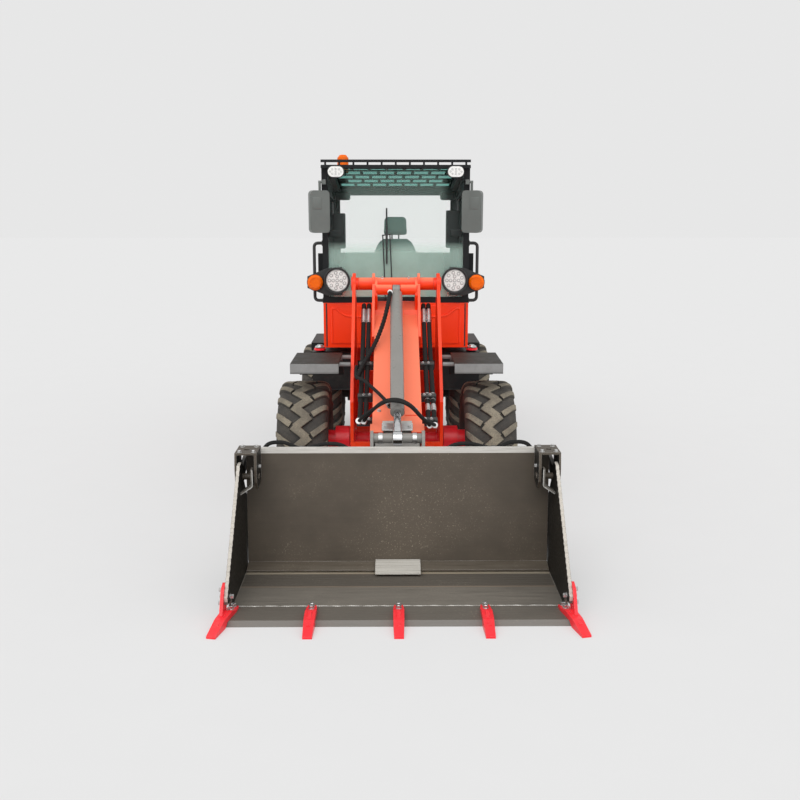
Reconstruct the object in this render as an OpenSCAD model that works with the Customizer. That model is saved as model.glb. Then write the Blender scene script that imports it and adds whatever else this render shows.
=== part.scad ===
// Articulated telescopic loader with a four-in-one bucket, parked with its boom lowered.
// Millimetres, +Z up, front towards -Y. Stations along Y are measured from the steering pivot
// and moved at the end so that the origin lies on the ground under the middle of the machine.

/* [Wheels] */
// Distance between the axles
wheelbase = 2050; // [1900:10:2200]
// Distance between the wheel centres of one axle
track = 1415; // [1380:5:1480]
// Outer diameter of a tyre over its lugs
tyre_d = 920; // [880:5:960]
// Width of a tyre over its shoulders
tyre_w = 390; // [360:5:410]
// Diameter of the rim's bead seat
rim_d = 457; // [440:1:480]
// Diameter of the wheel's bolt circle
bolt_circle_d = 275; // [240:5:300]

/* [Steering joint] */
// Diameter of the two vertical steering pins
steer_pin_d = 60; // [50:1:70]
// Height of the lower steering lug's middle
steer_low_z = 400; // [380:5:420]
// Height of the upper steering lug's middle
steer_high_z = 860; // [840:5:900]
// Thickness of a steering lug
steer_lug_t = 40; // [30:1:50]
// Diameter of a steering cylinder's barrel
steer_barrel_d = 70; // [60:1:80]

/* [Front frame] */
// Width over the two tower plates
tower_w = 696; // [680:2:720]
// Thickness of a tower plate
tower_t = 25; // [20:1:30]
// Distance from the front axle back to the boom's pivot
boom_pivot_back = 425; // [405:5:445]
// Height of the boom's pivot
boom_pivot_z = 1640; // [1620:5:1660]
// Diameter of the boom's pivot pin
boom_pin_d = 70; // [60:1:75]

/* [Boom] */
// Slope of the boom when the bucket is on the ground
boom_angle = 25.3; // [24.5:0.1:26]
// Width of the outer boom's box
boom_w = 340; // [330:2:346]
// Height of the outer boom's box
boom_h = 360; // [350:2:370]
// Plate thickness of both boom boxes
boom_wall = 10; // [8:1:12]
// Distance from the boom's pivot line down to the box's top plate
boom_drop = 169; // [160:1:180]
// Distance along the boom from the pivot to the outer box's front end
boom_reach = 1690; // [1640:10:1700]
// Distance along the boom from the pivot to the tilt pin of the coupler
tilt_reach = 1963; // [1950:1:1980]
// Distance between the coupler's pivot and its tilt pin
tilt_lever = 380; // [370:1:390]
// Room between the inner and outer boom boxes
boom_gap = 12; // [10:1:14]
// Diameter of the tilt cylinder's barrel
tilt_barrel_d = 95; // [85:1:100]
// Diameter of the lift cylinder's barrel
lift_barrel_d = 96; // [92:1:98]

/* [Bucket] */
// Width over the bucket's outer brackets
bucket_w = 1964; // [1900:4:2000]
// Length of the bucket's floor from its rear seam to its cutting edge
floor_len = 800; // [760:5:840]
// Height of the bucket's back wall
back_h = 755; // [730:5:780]
// Thickness of the bucket's side plates
side_t = 20; // [16:1:22]
// Thickness of the floor and back plates
skin_t = 14; // [12:1:16]
// Thickness of the cutting edge
edge_t = 25; // [20:1:30]
// Distance between two teeth on the cutting edge
tooth_pitch = 489; // [450:1:500]
// Width of a tooth
tooth_w = 62; // [56:1:70]
// Length of a tooth in front of the cutting edge
tooth_len = 150; // [130:5:170]

/* [Cab] */
// Width of the cab
cab_w = 1256; // [1230:2:1280]
// Length of the cab
cab_len = 1250; // [1220:5:1280]
// Distance of the cab's front behind the steering pivot, negative is in front of it
cab_front = -30; // [-40:1:-10]
// Height of the cab's underside
cab_low_z = 1040; // [1030:2:1060]
// Height of the windscreen's lower edge
sill_z = 1480; // [1460:5:1500]
// Height of the roof's underside at the front
roof_front_z = 2568; // [2550:2:2580]
// Height of the roof's underside at the rear
roof_rear_z = 2400; // [2380:5:2420]
// Thickness of the cab's posts and walls
post_t = 50; // [44:1:56]
// Thickness of the window glass
glass_t = 6; // [5:1:8]

/* [Rear body] */
// Distance from the rear axle to the rear end of the counterweight
rear_overhang = 1175; // [1120:5:1230]
// Width of the engine hood
hood_w = 1040; // [1000:5:1080]
// Thickness of the hood's sheet
hood_t = 20; // [12:1:24]
// Width of the counterweight
weight_w = 1240; // [1200:10:1300]

/* [Hidden] */
$fn = 48;
// Running clearance round a pin, and the gap at a seat
run = 0.3;
// Clearance between pieces that pass each other
pass = 6;

axle_z = tyre_d / 2;
front_y = -wheelbase / 2;
rear_y = wheelbase / 2;
boom_y = front_y + boom_pivot_back;
tower_in = tower_w / 2 - tower_t;
// The tilt pin lies on the line through the boom's pivot along the boom
tilt_y = boom_y - tilt_reach * cos(boom_angle);
tilt_z = boom_pivot_z - tilt_reach * sin(boom_angle);
coupler_y = tilt_y;
coupler_z = tilt_z - tilt_lever;
coupler_face_y = coupler_y - 150;
// Bucket stations
seam_y = coupler_y - 250;
lip_y = seam_y - floor_len;
tip_y = lip_y - tooth_len;
rear_end_y = rear_y + rear_overhang;
mid_y = (-tip_y - rear_end_y) / 2;
cab_rear = cab_front + cab_len;

ORANGE = [0.93, 0.16, 0.05];
BLACK = [0.07, 0.07, 0.07];
DARK = [0.20, 0.19, 0.18];
STEEL = [0.75, 0.75, 0.74];
GREY = [0.36, 0.36, 0.35];
RED = [0.86, 0.05, 0.09];
GLASS = [0.62, 0.78, 0.74, 0.4];
AMBER = [1.0, 0.55, 0.05];

// Shapes used by many pieces

// A plate across the machine from x0 to x1 with an outline in Y and Z
module across(x0, x1) {
  translate([x0, 0, 0]) rotate([90, 0, 90]) linear_extrude(x1 - x0) children();
}
// The same plate on both sides, between distances x0 and x1 from the middle
module both_sides(x0, x1) {
  across(x0, x1) children();
  across(-x1, -x0) children();
}
// A round bar across the machine
module bar(x0, x1, y, z, d) {
  translate([x0, y, z]) rotate([0, 90, 0]) cylinder(h = x1 - x0, d = d);
}
// A box between two corners
module block(a, b) {
  translate(a) cube(b - a);
}
// Moves a piece from the steering pivot's stations to the middle of the machine
module placed() translate([0, mid_y, 0]) children();
module mirrored() {
  children();
  mirror([1, 0, 0]) children();
}
// A square with rounded corners between two corners
module round_rect(a, b, r) {
  x = [a[0] + r, b[0] - r];
  y = [a[1] + r, b[1] - r];
  polygon([
    for (c = [[x[1], y[1], 0], [x[0], y[1], 90], [x[0], y[0], 180], [x[1], y[0], 270]])
      for (t = [0:15:90]) [c[0] + r * cos(c[2] + t), c[1] + r * sin(c[2] + t)]
  ]);
}
// Turns +Z to point along dy, dz
module towards(p, q) {
  translate(p) rotate([atan2(-(q[1] - p[1]), q[2] - p[2]), 0, 0]) children();
}
// A tube swept along points, with flat ends
function unit(v) = v / norm(v);
module hose(points, d, aside = [1, 0, 0], sides = 8) {
  n = len(points);
  tangents = [for (i = [0:n - 1]) unit(points[min(i + 1, n - 1)] - points[max(i - 1, 0)])];
  rings = [
    for (i = [0:n - 1]) let (u = unit(cross(tangents[i], aside)), v = cross(tangents[i], u))
      for (k = [0:sides - 1]) points[i] + d / 2 * (cos(360 * k / sides) * u + sin(360 * k / sides) * v)
  ];
  walls = [
    for (i = [0:n - 2]) for (k = [0:sides - 1])
      let (a = i * sides + k, b = i * sides + (k + 1) % sides) [a, a + sides, b + sides, b]
  ];
  first = [for (k = [0:sides - 1]) k];
  last = [for (k = [sides - 1:-1:0]) (n - 1) * sides + k];
  polyhedron(rings, concat(walls, [first], [last]));
}
// Points on a smooth curve through a few chosen points
function spline_at(p, i, t) =
  let (a = p[max(i - 1, 0)], b = p[i], c = p[i + 1], d = p[min(i + 2, len(p) - 1)])
  0.5 * (2 * b + (c - a) * t + (2 * a - 5 * b + 4 * c - d) * t * t + (3 * b - a - 3 * c + d) * t * t * t);
function smooth(p, steps) = concat(
  [for (i = [0:len(p) - 2]) for (k = [0:steps - 1]) spline_at(p, i, k / steps)], [p[len(p) - 1]]
);

// A hydraulic cylinder's barrel: eye on the X axis at the origin, tube along +Z
module barrel(len, d, rod_d, eye_d, eye_w, pin_d) {
  wall = 9;
  gland = 30;
  foot = eye_d * 0.95;
  difference() {
    union() {
      rotate([0, 90, 0]) cylinder(h = eye_w, d = eye_d, center = true);
      translate([-eye_w / 2, -eye_d * 0.3, 0]) cube([eye_w, eye_d * 0.6, eye_d]);
      translate([0, 0, foot]) cylinder(h = len - foot, d = d);
    }
    rotate([0, 90, 0]) cylinder(h = eye_w + 2, d = pin_d + 2 * run, center = true);
    translate([0, 0, foot + 20]) cylinder(h = len - foot - 20 - gland, d = d - 2 * wall);
    translate([0, 0, len - gland - 1]) cylinder(h = gland + 2, d = rod_d + 2 * run);
  }
}
// Its rod: solid eye at the origin, rod along -Z with the piston at its end
module piston_rod(len, rod_d, eye_d, eye_w, bore_d) {
  piston_h = 30;
  rotate([0, 90, 0]) cylinder(h = eye_w, d = eye_d, center = true);
  translate([0, 0, -len]) cylinder(h = len, d = rod_d);
  translate([0, 0, -len]) cylinder(h = piston_h, d = bore_d - 2 * run);
}

// Rear frame and what it carries

// Two deep side plates, cross plates and the forks of the steering joint
rail_in = 250;
rail_out = 280;
fork_gap = steer_lug_t / 2 + 5;
fork_t = 30;
module fork_plate(z) {
  translate([0, 0, z]) linear_extrude(fork_t) difference() {
    union() {
      circle(d = 170);
      polygon([[-85, 0], [85, 0], [rail_in, 260], [rail_in, 420], [-rail_in, 420], [-rail_in, 260]]);
    }
  }
}
module rear_frame() color(DARK) {
  rear_top = 940;
  mount_y = rear_end_y - 180;
  both_sides(rail_in, rail_out)
    polygon([
      [230, 330], [230, 470], [440, 470], [440, 650], [230, 650], [230, 940], [mount_y, 940], [mount_y, 480],
      [rear_y + 260, 480], [rear_y + 160, pad_z], [rear_y - 160, pad_z], [rear_y - 260, 480], [520, 330]
    ]);
  for (z = [steer_low_z, steer_high_z]) {
    fork_plate(z + fork_gap);
    fork_plate(z - fork_gap - fork_t);
    translate([0, 0, z - fork_gap - fork_t - 15]) cylinder(h = 2 * (fork_gap + fork_t) + 30, d = steer_pin_d);
  }
  block([-rail_in, 400, 330], [rail_in, 425, 930]);
  block([-rail_in, rear_y - 300, 500], [rail_in, rear_y - 275, 930]);
  block([-rail_in, mount_y - 25, 480], [rail_in, mount_y, rear_top]);
  // Cab carriers
  mirrored() for (y = [cab_front + 280, cab_rear - 260]) {
    block([rail_out, y, 880], [rail_out + 85, y + 80, cab_low_z - 40]);
    translate([rail_out + 42, y + 40, cab_low_z - 40]) cylinder(h = 40, d = 70);
  }
  // Brackets of the side tanks
  mirrored() for (y = [260, 430]) block([rail_out, y, 700], [tank_in, y + 40, 760]);
  // Bulkhead behind the cab with the hood's hinge pins
  block([-470, cab_rear + 8, 900], [470, cab_rear + 28, hood_top - 20]);
  mirrored() for (x = [300, 396]) {
    block([x, cab_rear + 8, hood_top - 20], [x + 24, cab_rear + 28, hood_pin_z + 12]);
    block([x, cab_rear + 8, hood_top + 8], [x + 24, hood_pin_y + 12, hood_pin_z + 12]);
  }
  mirrored() bar(300, 420, hood_pin_y, hood_pin_z, 16);
  // Lugs for the steering cylinders
  mirrored() for (z = [500, 600]) block([rail_out, 412, z], [steer_base[0] + 40, 540, z + 20]);
  mirrored() translate([steer_base[0], steer_base[1], 500]) cylinder(h = 120, d = 30);
}

axle_tube_d = 118;
pad_z = axle_z + 62;
axle_half = track / 2 - tyre_w / 2 - 18;
module axle_shape() {
  // Half of the axle's turned outline: place across the loader, radius
  axle_outline = [
    for (a = [0:12:48]) [115 * sin(a), 115 * cos(a)],
    [150, axle_tube_d / 2], [axle_half - 130, axle_tube_d / 2], [axle_half - 130, 107.5], [axle_half - 20, 107.5],
    [axle_half - 20, 75], [track / 2 - 20, 75], [track / 2 - 20, pilot_r - run], [track / 2 + hub_face + 40, pilot_r - run]
  ];
  last = len(axle_outline) - 1;
  // Differential housing, tube, brake housings, hubs and the pilots that centre the rims
  translate([0, 0, axle_z]) rotate([0, 90, 0]) rotate_extrude() polygon(concat(
    [[0, -axle_outline[last][0]]],
    [for (i = [last:-1:1]) [axle_outline[i][1], -axle_outline[i][0]]],
    [for (p = axle_outline) [p[1], p[0]]],
    [[0, axle_outline[last][0]]]
  ));
  // Drive flange
  translate([0, 0, axle_z]) rotate([-90, 0, 0]) cylinder(h = 220, d = 120);
}
module rear_axle() color(DARK) {
  difference() {
    translate([0, rear_y, 0]) union() {
      axle_shape();
      mirrored() block([rail_in - 20, -90, axle_z - 30], [rail_out + 40, 90, pad_z]);
    }
  }
}
module engine() color(GREY) {
  block([-rail_in, cab_rear + 120, 640], [rail_in, rear_end_y - 330, 1200]);
  block([-rail_in, rear_end_y - 320, 700], [rail_in, rear_end_y - 230, 1130]);
}

// Fuel and oil tanks beside the frame, with a step on each
tank_in = 370;
tank_out = 740;
tank_y0 = 60;
tank_y1 = rear_y - tyre_d / 2 - 60;
module side_tanks() color(BLACK) {
  mirrored() {
    difference() {
      across(tank_in, tank_out) round_rect([tank_y0, 640], [tank_y1, 985], 30);
      across(tank_out - 120, tank_out + 1) round_rect([tank_y0 + 60, 720], [tank_y1 - 60, 860], 25);
    }
    // Step hung below the tank
    for (y = [tank_y0 + 60, tank_y1 - 70]) block([tank_out - 40, y, 440], [tank_out - 28, y + 50, 641]);
    block([tank_out - 160, tank_y0 + 40, 425], [tank_out + 20, tank_y1 - 40, 440]);
    translate([tank_out - 70, tank_y0 + 60, 985]) cylinder(h = 45, d = 85);
    translate([tank_out - 70, tank_y0 + 60, 1005]) cylinder(h = 18, d = 100);
  }
}

fender_t = 8;
module fender_section(y, front, back, top_z, low_z) {
  // Top sheet with a lip in front and a slope behind
  polygon([
    [y - front, top_z - 75], [y - front, top_z], [y + back, top_z], [y + back + 180, low_z],
    [y + back + 180 - fender_t * 1.4, low_z], [y + back - fender_t / 2, top_z - fender_t],
    [y - front + fender_t, top_z - fender_t], [y - front + fender_t, top_z - 75]
  ]);
}
fender_in = 430;
fender_out = 790;
rear_fender_in = hood_w / 2 + 10;
rear_fender_out = 800;
rear_fender_top = 978;
module rear_fenders() color(BLACK) {
  both_sides(rear_fender_in, rear_fender_out) fender_section(rear_y, 330, 330, rear_fender_top, 830);
  // Carrier tubes from the frame
  for (y = [rear_y - 250, rear_y + 258]) mirrored() bar(rail_out, rear_fender_in + 120, y, rear_fender_top - fender_t - 48, 30);
  for (y = [rear_y - 250, rear_y + 258]) mirrored()
    block([rear_fender_in, y - 6, rear_fender_top - fender_t - 48], [rear_fender_in + 120, y + 6, rear_fender_top - fender_t / 2]);
}

weight_front = rear_end_y - 230;
tow_z = 560;
tow_pin_r = 16;
weight_rear = rear_end_y - 110;
module counterweight() color(BLACK) {
  difference() {
    union() {
      translate([0, 0, 430]) linear_extrude(520) polygon([
        [-weight_w / 2, weight_front], [-weight_w / 2, weight_rear - 70], [-weight_w / 2 + 110, weight_rear],
        [weight_w / 2 - 110, weight_rear], [weight_w / 2, weight_rear - 70], [weight_w / 2, weight_front]
      ]);
      // Tow jaw
      for (z = [tow_z - 58, tow_z + 28]) translate([0, 0, z]) linear_extrude(30) union() {
        translate([-60, weight_rear - 1]) square([120, 62]);
        translate([0, rear_end_y - 60]) circle(d = 120);
      }
    }
    // Pocket behind the frame's end plate
    block([-rail_out, weight_front - 1, 429], [rail_out, rear_end_y - 180, 951]);
    // Lamp recesses
    mirrored() block([weight_w / 2 - 260, weight_rear - 30, 770], [weight_w / 2 - 120, weight_rear + 1, 870]);
    translate([0, rear_end_y - 60, tow_z - 100]) cylinder(h = 200, r = tow_pin_r);
  }
}
module tail_lamps() color(RED) {
  mirrored() block([weight_w / 2 - 255, weight_rear - 30, 775], [weight_w / 2 - 125, weight_rear - 4, 865]);
}

// Cab

// Side outline of the cab between a lower and an upper height offset
function roof_z(y) = roof_front_z + (roof_rear_z - roof_front_z) * (y - cab_front) / cab_len;
module cab_side(low, inset) {
  polygon([
    [cab_front + inset, low], [cab_front + inset, roof_z(cab_front) - inset],
    [cab_rear - inset, roof_z(cab_rear) - inset], [cab_rear - inset, low]
  ]);
}
base_top = 1430;
door_y0 = cab_front + post_t + 10;
door_y1 = cab_front + 790;
door_low = cab_low_z + 60;
module door_hole(grow) {
  polygon([
    [door_y0 - grow, door_low - grow], [door_y0 - grow, roof_z(door_y0) - 100 + grow],
    [door_y1 + grow, roof_z(door_y1) - 100 + grow], [door_y1 + grow, door_low - grow]
  ]);
}
// Orange tub: floor, sills and low walls
module cab_base() color(ORANGE) {
  difference() {
    block([-cab_w / 2, cab_front, cab_low_z], [cab_w / 2, cab_rear, base_top]);
    block([-cab_w / 2 + post_t, cab_front + post_t, cab_low_z + 30], [cab_w / 2 - post_t, cab_rear - post_t, base_top + 1]);
    across(-cab_w, cab_w) door_hole(door_gap);
  }
  mirrored() for (z = hinge_z) {
    if (z < base_top) hinge_pin(z);
  }
}
// Black posts and rails above it
module cab_posts() color(BLACK) {
  difference() {
    across(-cab_w / 2, cab_w / 2) cab_side(base_top, 0);
    across(-cab_w / 2 + post_t, cab_w / 2 - post_t) polygon([
      [cab_front + post_t, base_top - 1], [cab_front + post_t, roof_z(cab_front) - post_t],
      [cab_rear - post_t, roof_z(cab_rear) - post_t], [cab_rear - post_t, base_top - 1]
    ]);
    // Windscreen, rear window, doors and quarter windows
    block([-cab_w / 2 + post_t, cab_front - 1, sill_z], [cab_w / 2 - post_t, cab_front + post_t + 1, roof_front_z - header_t]);
    block([-cab_w / 2 + 90, cab_rear - post_t - 1, 1800], [cab_w / 2 - 90, cab_rear + 1, roof_rear_z - 50]);
    across(-cab_w, cab_w) door_hole(door_gap);
    across(-cab_w, cab_w) polygon([
      [door_y1 + 60, sill_z], [door_y1 + 60, roof_z(door_y1 + 60) - 100],
      [cab_rear - 80, roof_z(cab_rear - 80) - 100], [cab_rear - 80, sill_z]
    ]);
    // Roof opening over the driver
    block([-skylight_w / 2, skylight_y0, 2200], [skylight_w / 2, skylight_y1, 2700]);
  }
  // Hinge pins of the doors
  mirrored() for (z = hinge_z) {
    if (z > base_top) hinge_pin(z);
  }
}
module hinge_pin(z) {
  translate([hinge_x, hinge_y, z - 30]) cylinder(h = 150, d = 14);
  for (low = [z - 30, z + 95]) {
    block([cab_w / 2, hinge_y + 2, low], [hinge_x + 7, hinge_y + 48, low + 25]);
    translate([hinge_x, hinge_y, low]) cylinder(h = 25, d = 18);
  }
}
skylight_w = cab_w - 196;
skylight_y0 = cab_front + 46;
skylight_y1 = cab_rear - 90;

// Pressed front panels beside the tower
module cab_panels() color(ORANGE) {
  mirrored() {
    translate([0, cab_front, 0]) rotate([90, 0, 0]) linear_extrude(18) difference() {
      polygon([[150, cab_low_z + 2], [cab_w / 2 - 34, cab_low_z + 2], [cab_w / 2 - 34, base_top], [150, base_top - 40]]);
    }
    // Raised relief
    translate([0, cab_front - 18, 0]) rotate([90, 0, 0]) linear_extrude(10) polygon([
      [cab_w / 2 - 70, cab_low_z + 40], [cab_w / 2 - 70, base_top - 40], [cab_w / 2 - 110, base_top - 40],
      [cab_w / 2 - 190, base_top - 110], [200, base_top - 120], [200, cab_low_z + 40]
    ]);
  }
}

// Roof skin with the skylight's hole
header_t = 10;
roof_t = 16;
module roof_section(low, high, front, back) {
  polygon([
    [cab_front - front, roof_z(cab_front - front) + low], [cab_front - front, roof_z(cab_front - front) + high],
    [cab_rear + back, roof_z(cab_rear + back) + high], [cab_rear + back, roof_z(cab_rear + back) + low]
  ]);
}
module cab_roof() color(BLACK) {
  difference() {
    across(-cab_w / 2, cab_w / 2) roof_section(0, roof_t, 45, 30);
    block([-skylight_w / 2, skylight_y0, 2200], [skylight_w / 2, skylight_y1, 2800]);
  }
}
// Falling-object guard over the skylight, laid like bricks, and the rail in front of it
guard_rows = 5;
guard_t = 8;
rail_top = 2632;
module on_guard() translate([0, skylight_y0, roof_z(skylight_y0) + roof_t + 0.05])
  rotate([atan2(roof_rear_z - roof_front_z, cab_len), 0, 0]) children();
module roof_guard() color(BLACK) {
  row_h = (skylight_y1 - skylight_y0) / guard_rows;
  slot_w = 124;
  pitch = 150;
  on_guard()
    linear_extrude(guard_t) difference() {
      translate([-skylight_w / 2 - 20, -20]) square([skylight_w + 40, skylight_y1 - skylight_y0 + 40]);
      for (row = [0:guard_rows - 1])
        for (k = [-3:3 - (row % 2)])
          translate([(k + (row % 2) / 2) * pitch - slot_w / 2, row * row_h + 18]) square([slot_w, row_h - 36]);
    }
  // Front rail: two bars with short uprights
  rail_y = cab_front - 45;
  for (z = [rail_top - 22, rail_top - 70]) block([-cab_w / 2, rail_y - 22, z], [cab_w / 2, rail_y, z + 22]);
  for (k = [-5:5]) block([k * 118 - 8, rail_y - 20, rail_top - 48], [k * 118 + 8, rail_y - 2, rail_top - 22]);
}

module cab_glass() color(GLASS) {
  // Windscreen
  block([-cab_w / 2 + post_t, cab_front + 20, sill_z], [cab_w / 2 - post_t, cab_front + 20 + glass_t, roof_front_z - header_t]);
  // Rear window
  block([-cab_w / 2 + 90, cab_rear - 30, 1800], [cab_w / 2 - 90, cab_rear - 30 + glass_t, roof_rear_z - 50]);
  // Quarter windows
  both_sides(cab_w / 2 - 30, cab_w / 2 - 30 + glass_t) polygon([
    [door_y1 + 60, sill_z], [door_y1 + 60, roof_z(door_y1 + 60) - 100],
    [cab_rear - 80, roof_z(cab_rear - 80) - 100], [cab_rear - 80, sill_z]
  ]);
  // Skylight
  across(-skylight_w / 2, skylight_w / 2) polygon([
    for (q = [[skylight_y0, 5], [skylight_y1, 5], [skylight_y1, 5 + glass_t], [skylight_y0, 5 + glass_t]])
      [q[0], roof_z(q[0]) + q[1]]
  ]);
}

seat_y = cab_front + 700;
floor_z = cab_low_z + 30;
module seat() color(BLACK) {
  translate([0, seat_y, 0]) {
    block([-150, -160, floor_z], [150, 180, floor_z + 280]);
    across(-245, 245) round_rect([-270, floor_z + 280], [240, floor_z + 400], 40);
    translate([0, 190, floor_z + 400]) rotate([-12, 0, 0]) {
      across(-230, 230) round_rect([-60, 0], [50, 480], 40);
      block([-40, -10, 480], [40, 10, 520]);
      across(-120, 120) round_rect([-55, 520], [45, 690], 35);
    }
  }
}
module controls() color(BLACK) {
  // Column, wheel and right-hand console with its lever
  column_y = cab_front + 190;
  translate([0, column_y, floor_z + 40 * sin(18)]) rotate([-18, 0, 0]) {
    translate([-60, -40, 0]) cube([120, 80, 620]);
    translate([0, 0, 620]) cylinder(h = 50, d = 60);
    translate([0, 0, 670]) rotate_extrude() translate([180, 0]) circle(d = 30);
    for (a = [90, 210, 330]) rotate([0, 0, a]) translate([20, -12, 662]) cube([150, 24, 12]);
    translate([0, 0, 655]) cylinder(h = 24, d = 80);
  }
  across(300, 430) round_rect([seat_y - 150, floor_z], [seat_y + 300, floor_z + 520], 50);
  translate([365, seat_y - 60, floor_z + 520]) cylinder(h = 150, d = 26);
  translate([365, seat_y - 60, floor_z + 670]) sphere(d = 56);
}

// Lamps
lamp_x = 500;
lamp_z = 1630;
lamp_y = cab_front - 95;
work_lamp_z = 2532;
work_lamp_y = cab_front - 67;
module lamp_housings() color(BLACK) {
  mirrored() {
    translate([lamp_x, lamp_y + 70, lamp_z]) rotate([90, 0, 0]) difference() {
      cylinder(h = 85, d1 = 150, d2 = 222);
      translate([0, 0, 60]) cylinder(h = 30, d = 188);
    }
    // Arm from the corner post, which also carries the indicator
    translate([0, cab_front - 20, 0]) rotate([90, 0, 0]) linear_extrude(12)
      polygon([[460, 1500], [590, 1495], [760, 1560], [760, 1660], [590, 1730], [460, 1740]]);
    block([590, cab_front - 20, 1540], [cab_w / 2, cab_front, 1640]);
    // Oval work lamp in front of the roof's rail
    translate([lamp_x, work_lamp_y, work_lamp_z]) rotate([90, 0, 0]) linear_extrude(48) difference() {
      round_rect([-72, -50], [72, 50], 49);
    }
  }
}
module lamp_lenses() color(STEEL) {
  mirrored() {
    translate([lamp_x, lamp_y + 9.5, lamp_z]) rotate([90, 0, 0]) cylinder(h = 20, d = 186);
    translate([lamp_x, work_lamp_y - 48, work_lamp_z]) rotate([90, 0, 0]) linear_extrude(8) round_rect([-65, -43], [65, 43], 42);
  }
}
beacon_x = -465;
beacon_y = cab_front + 400;
module indicators() color(AMBER) {
  mirrored() translate([690, cab_front - 32.3, 1610]) rotate([90, 0, 0]) {
    cylinder(h = 40, d = 132);
    translate([0, 0, 40]) cylinder(h = 14, d1 = 132, d2 = 100);
  }
  // Beacon on the roof
  on_guard() translate([beacon_x, beacon_y - skylight_y0, guard_t]) {
    cylinder(h = 128, d = 100);
    translate([0, 0, 128]) cylinder(h = 24, d1 = 100, d2 = 64);
  }
}

mirror_w = 165;
mirror_h = 350;
mirror_turn = 22;
module mirrors() color(BLACK) {
  mirrored() {
    translate([658, cab_front - 54, 2205]) rotate([0, 0, -mirror_turn]) rotate([90, 0, 0]) linear_extrude(72)
      round_rect([-mirror_w / 2, -mirror_h / 2], [mirror_w / 2, mirror_h / 2], 32);
    // Arm up to the corner of the roof
    translate([640, cab_front - 46, 2370]) cylinder(h = 80, d = 22);
    bar(cab_w / 2 - 40, 651, cab_front - 46, 2450, 22);
    block([cab_w / 2 - 40, cab_front - 57, 2430], [cab_w / 2 - 10, cab_front, 2470]);
  }
}
module handrails() color(BLACK) {
  mirrored() {
    translate([700, cab_front + 18, 1450]) cylinder(h = 490, d = 28);
    for (z = [1450, 1940]) bar(cab_w / 2, 714, cab_front + 18, z, 28);
  }
}
module wiper() color(BLACK) {
  translate([-60, cab_front, sill_z - 30]) rotate([90, 0, 0]) cylinder(h = 40, d = 60);
  translate([-60, cab_front - 30, sill_z - 30]) rotate([0, -3, 0]) {
    translate([-9, -4, 0]) cube([18, 8, 480]);
    translate([-7, 4, 240]) cube([14, 30, 470]);
  }
}
module exhaust() color(GREY) {
  silencer_x = -rail_out - 75;
  silencer_y = rear_end_y - 650;
  translate([silencer_x, silencer_y, 720]) rotate([-90, 0, 0]) cylinder(h = 320, d = 140);
  translate([silencer_x, silencer_y + 320, 720]) rotate([-90, 0, 0]) cylinder(h = 70, d = 60);
  block([silencer_x, silencer_y + 60, 700], [-rail_out, silencer_y + 120, 740]);
}

// Doors: black frame round a full-height pane, hinged at the rear edge
door_t = 46;
hinge_x = cab_w / 2 + 14;
hinge_y = door_y1 + pass / 2;
door_gap = pass + 4;
hinge_z = [1300, 2130];
module door_frame() {
  difference() {
    across(cab_w / 2 - door_t, cab_w / 2) door_hole(0);
    across(cab_w / 2 - door_t - 1, cab_w / 2 + 1) polygon([
      [door_y0 + 60, door_low + 90], [door_y0 + 60, roof_z(door_y0 + 60) - 165],
      [door_y1 - 60, roof_z(door_y1 - 60) - 165], [door_y1 - 60, door_low + 90]
    ]);
  }
  // Handle and hinge knuckles
  block([cab_w / 2, door_y0 + 15, 1690], [cab_w / 2 + 45, door_y0 + 45, 1850]);
  for (z = hinge_z) difference() {
    union() {
      translate([hinge_x, hinge_y, z]) cylinder(h = 90, d = 28);
      block([cab_w / 2, door_y1 - 80, z], [hinge_x + 6, hinge_y, z + 90]);
    }
    translate([hinge_x, hinge_y, z - 1]) cylinder(h = 92, d = 14 + 2 * run);
  }
}
module door_pane() {
  across(cab_w / 2 - 26, cab_w / 2 - 26 + glass_t) polygon([
    [door_y0 + 60, door_low + 90], [door_y0 + 60, roof_z(door_y0 + 60) - 165],
    [door_y1 - 60, roof_z(door_y1 - 60) - 165], [door_y1 - 60, door_low + 90]
  ]);
}
module door_left() color(BLACK) mirror([1, 0, 0]) door_frame();
module door_left_glass() color(GLASS) mirror([1, 0, 0]) door_pane();
module door_right() color(BLACK) door_frame();
module door_right_glass() color(GLASS) door_pane();

// Engine hood, hinged along its front top edge
hood_front = cab_rear + 40;
hood_pin_y = hood_front + 4;
hood_rear = rear_end_y - 130;
hood_low = 960;
hood_top = 1420;
hood_pin_z = hood_top + 26;
module hood_side(inset) {
  polygon([
    [hood_front - inset, hood_low - (inset > 0 ? 1 : 0)], [hood_front - inset, hood_top - inset],
    [hood_front + 380, hood_top - inset], [hood_rear - 120 - inset, hood_top - 130 - inset],
    [hood_rear - inset, hood_top - 260 - inset], [hood_rear - inset, hood_low - (inset > 0 ? 1 : 0)]
  ]);
}
module hood() color(ORANGE) {
  difference() {
    across(-hood_w / 2, hood_w / 2) hood_side(0);
    across(-hood_w / 2 + hood_t, hood_w / 2 - hood_t) hood_side(hood_t);
    // Louvres in both sides
    for (k = [0:7]) across(-hood_w, hood_w) round_rect([hood_front + 160 + k * 52, 1040], [hood_front + 184 + k * 52, 1230], 11);
    // Radiator grille in the rear
    for (k = [0:5]) block([-330, hood_rear - hood_t - 1, 990 + k * 26], [330, hood_rear + 1, 1004 + k * 26]);
  }
  // Hinge knuckles
  mirrored() difference() {
    union() {
      bar(330, 390, hood_pin_y, hood_pin_z, 36);
      block([330, hood_front, hood_top - 1], [390, hood_front + 60, hood_pin_z]);
    }
    bar(329, 391, hood_pin_y, hood_pin_z, 16 + 2 * run);
  }
}

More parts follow.
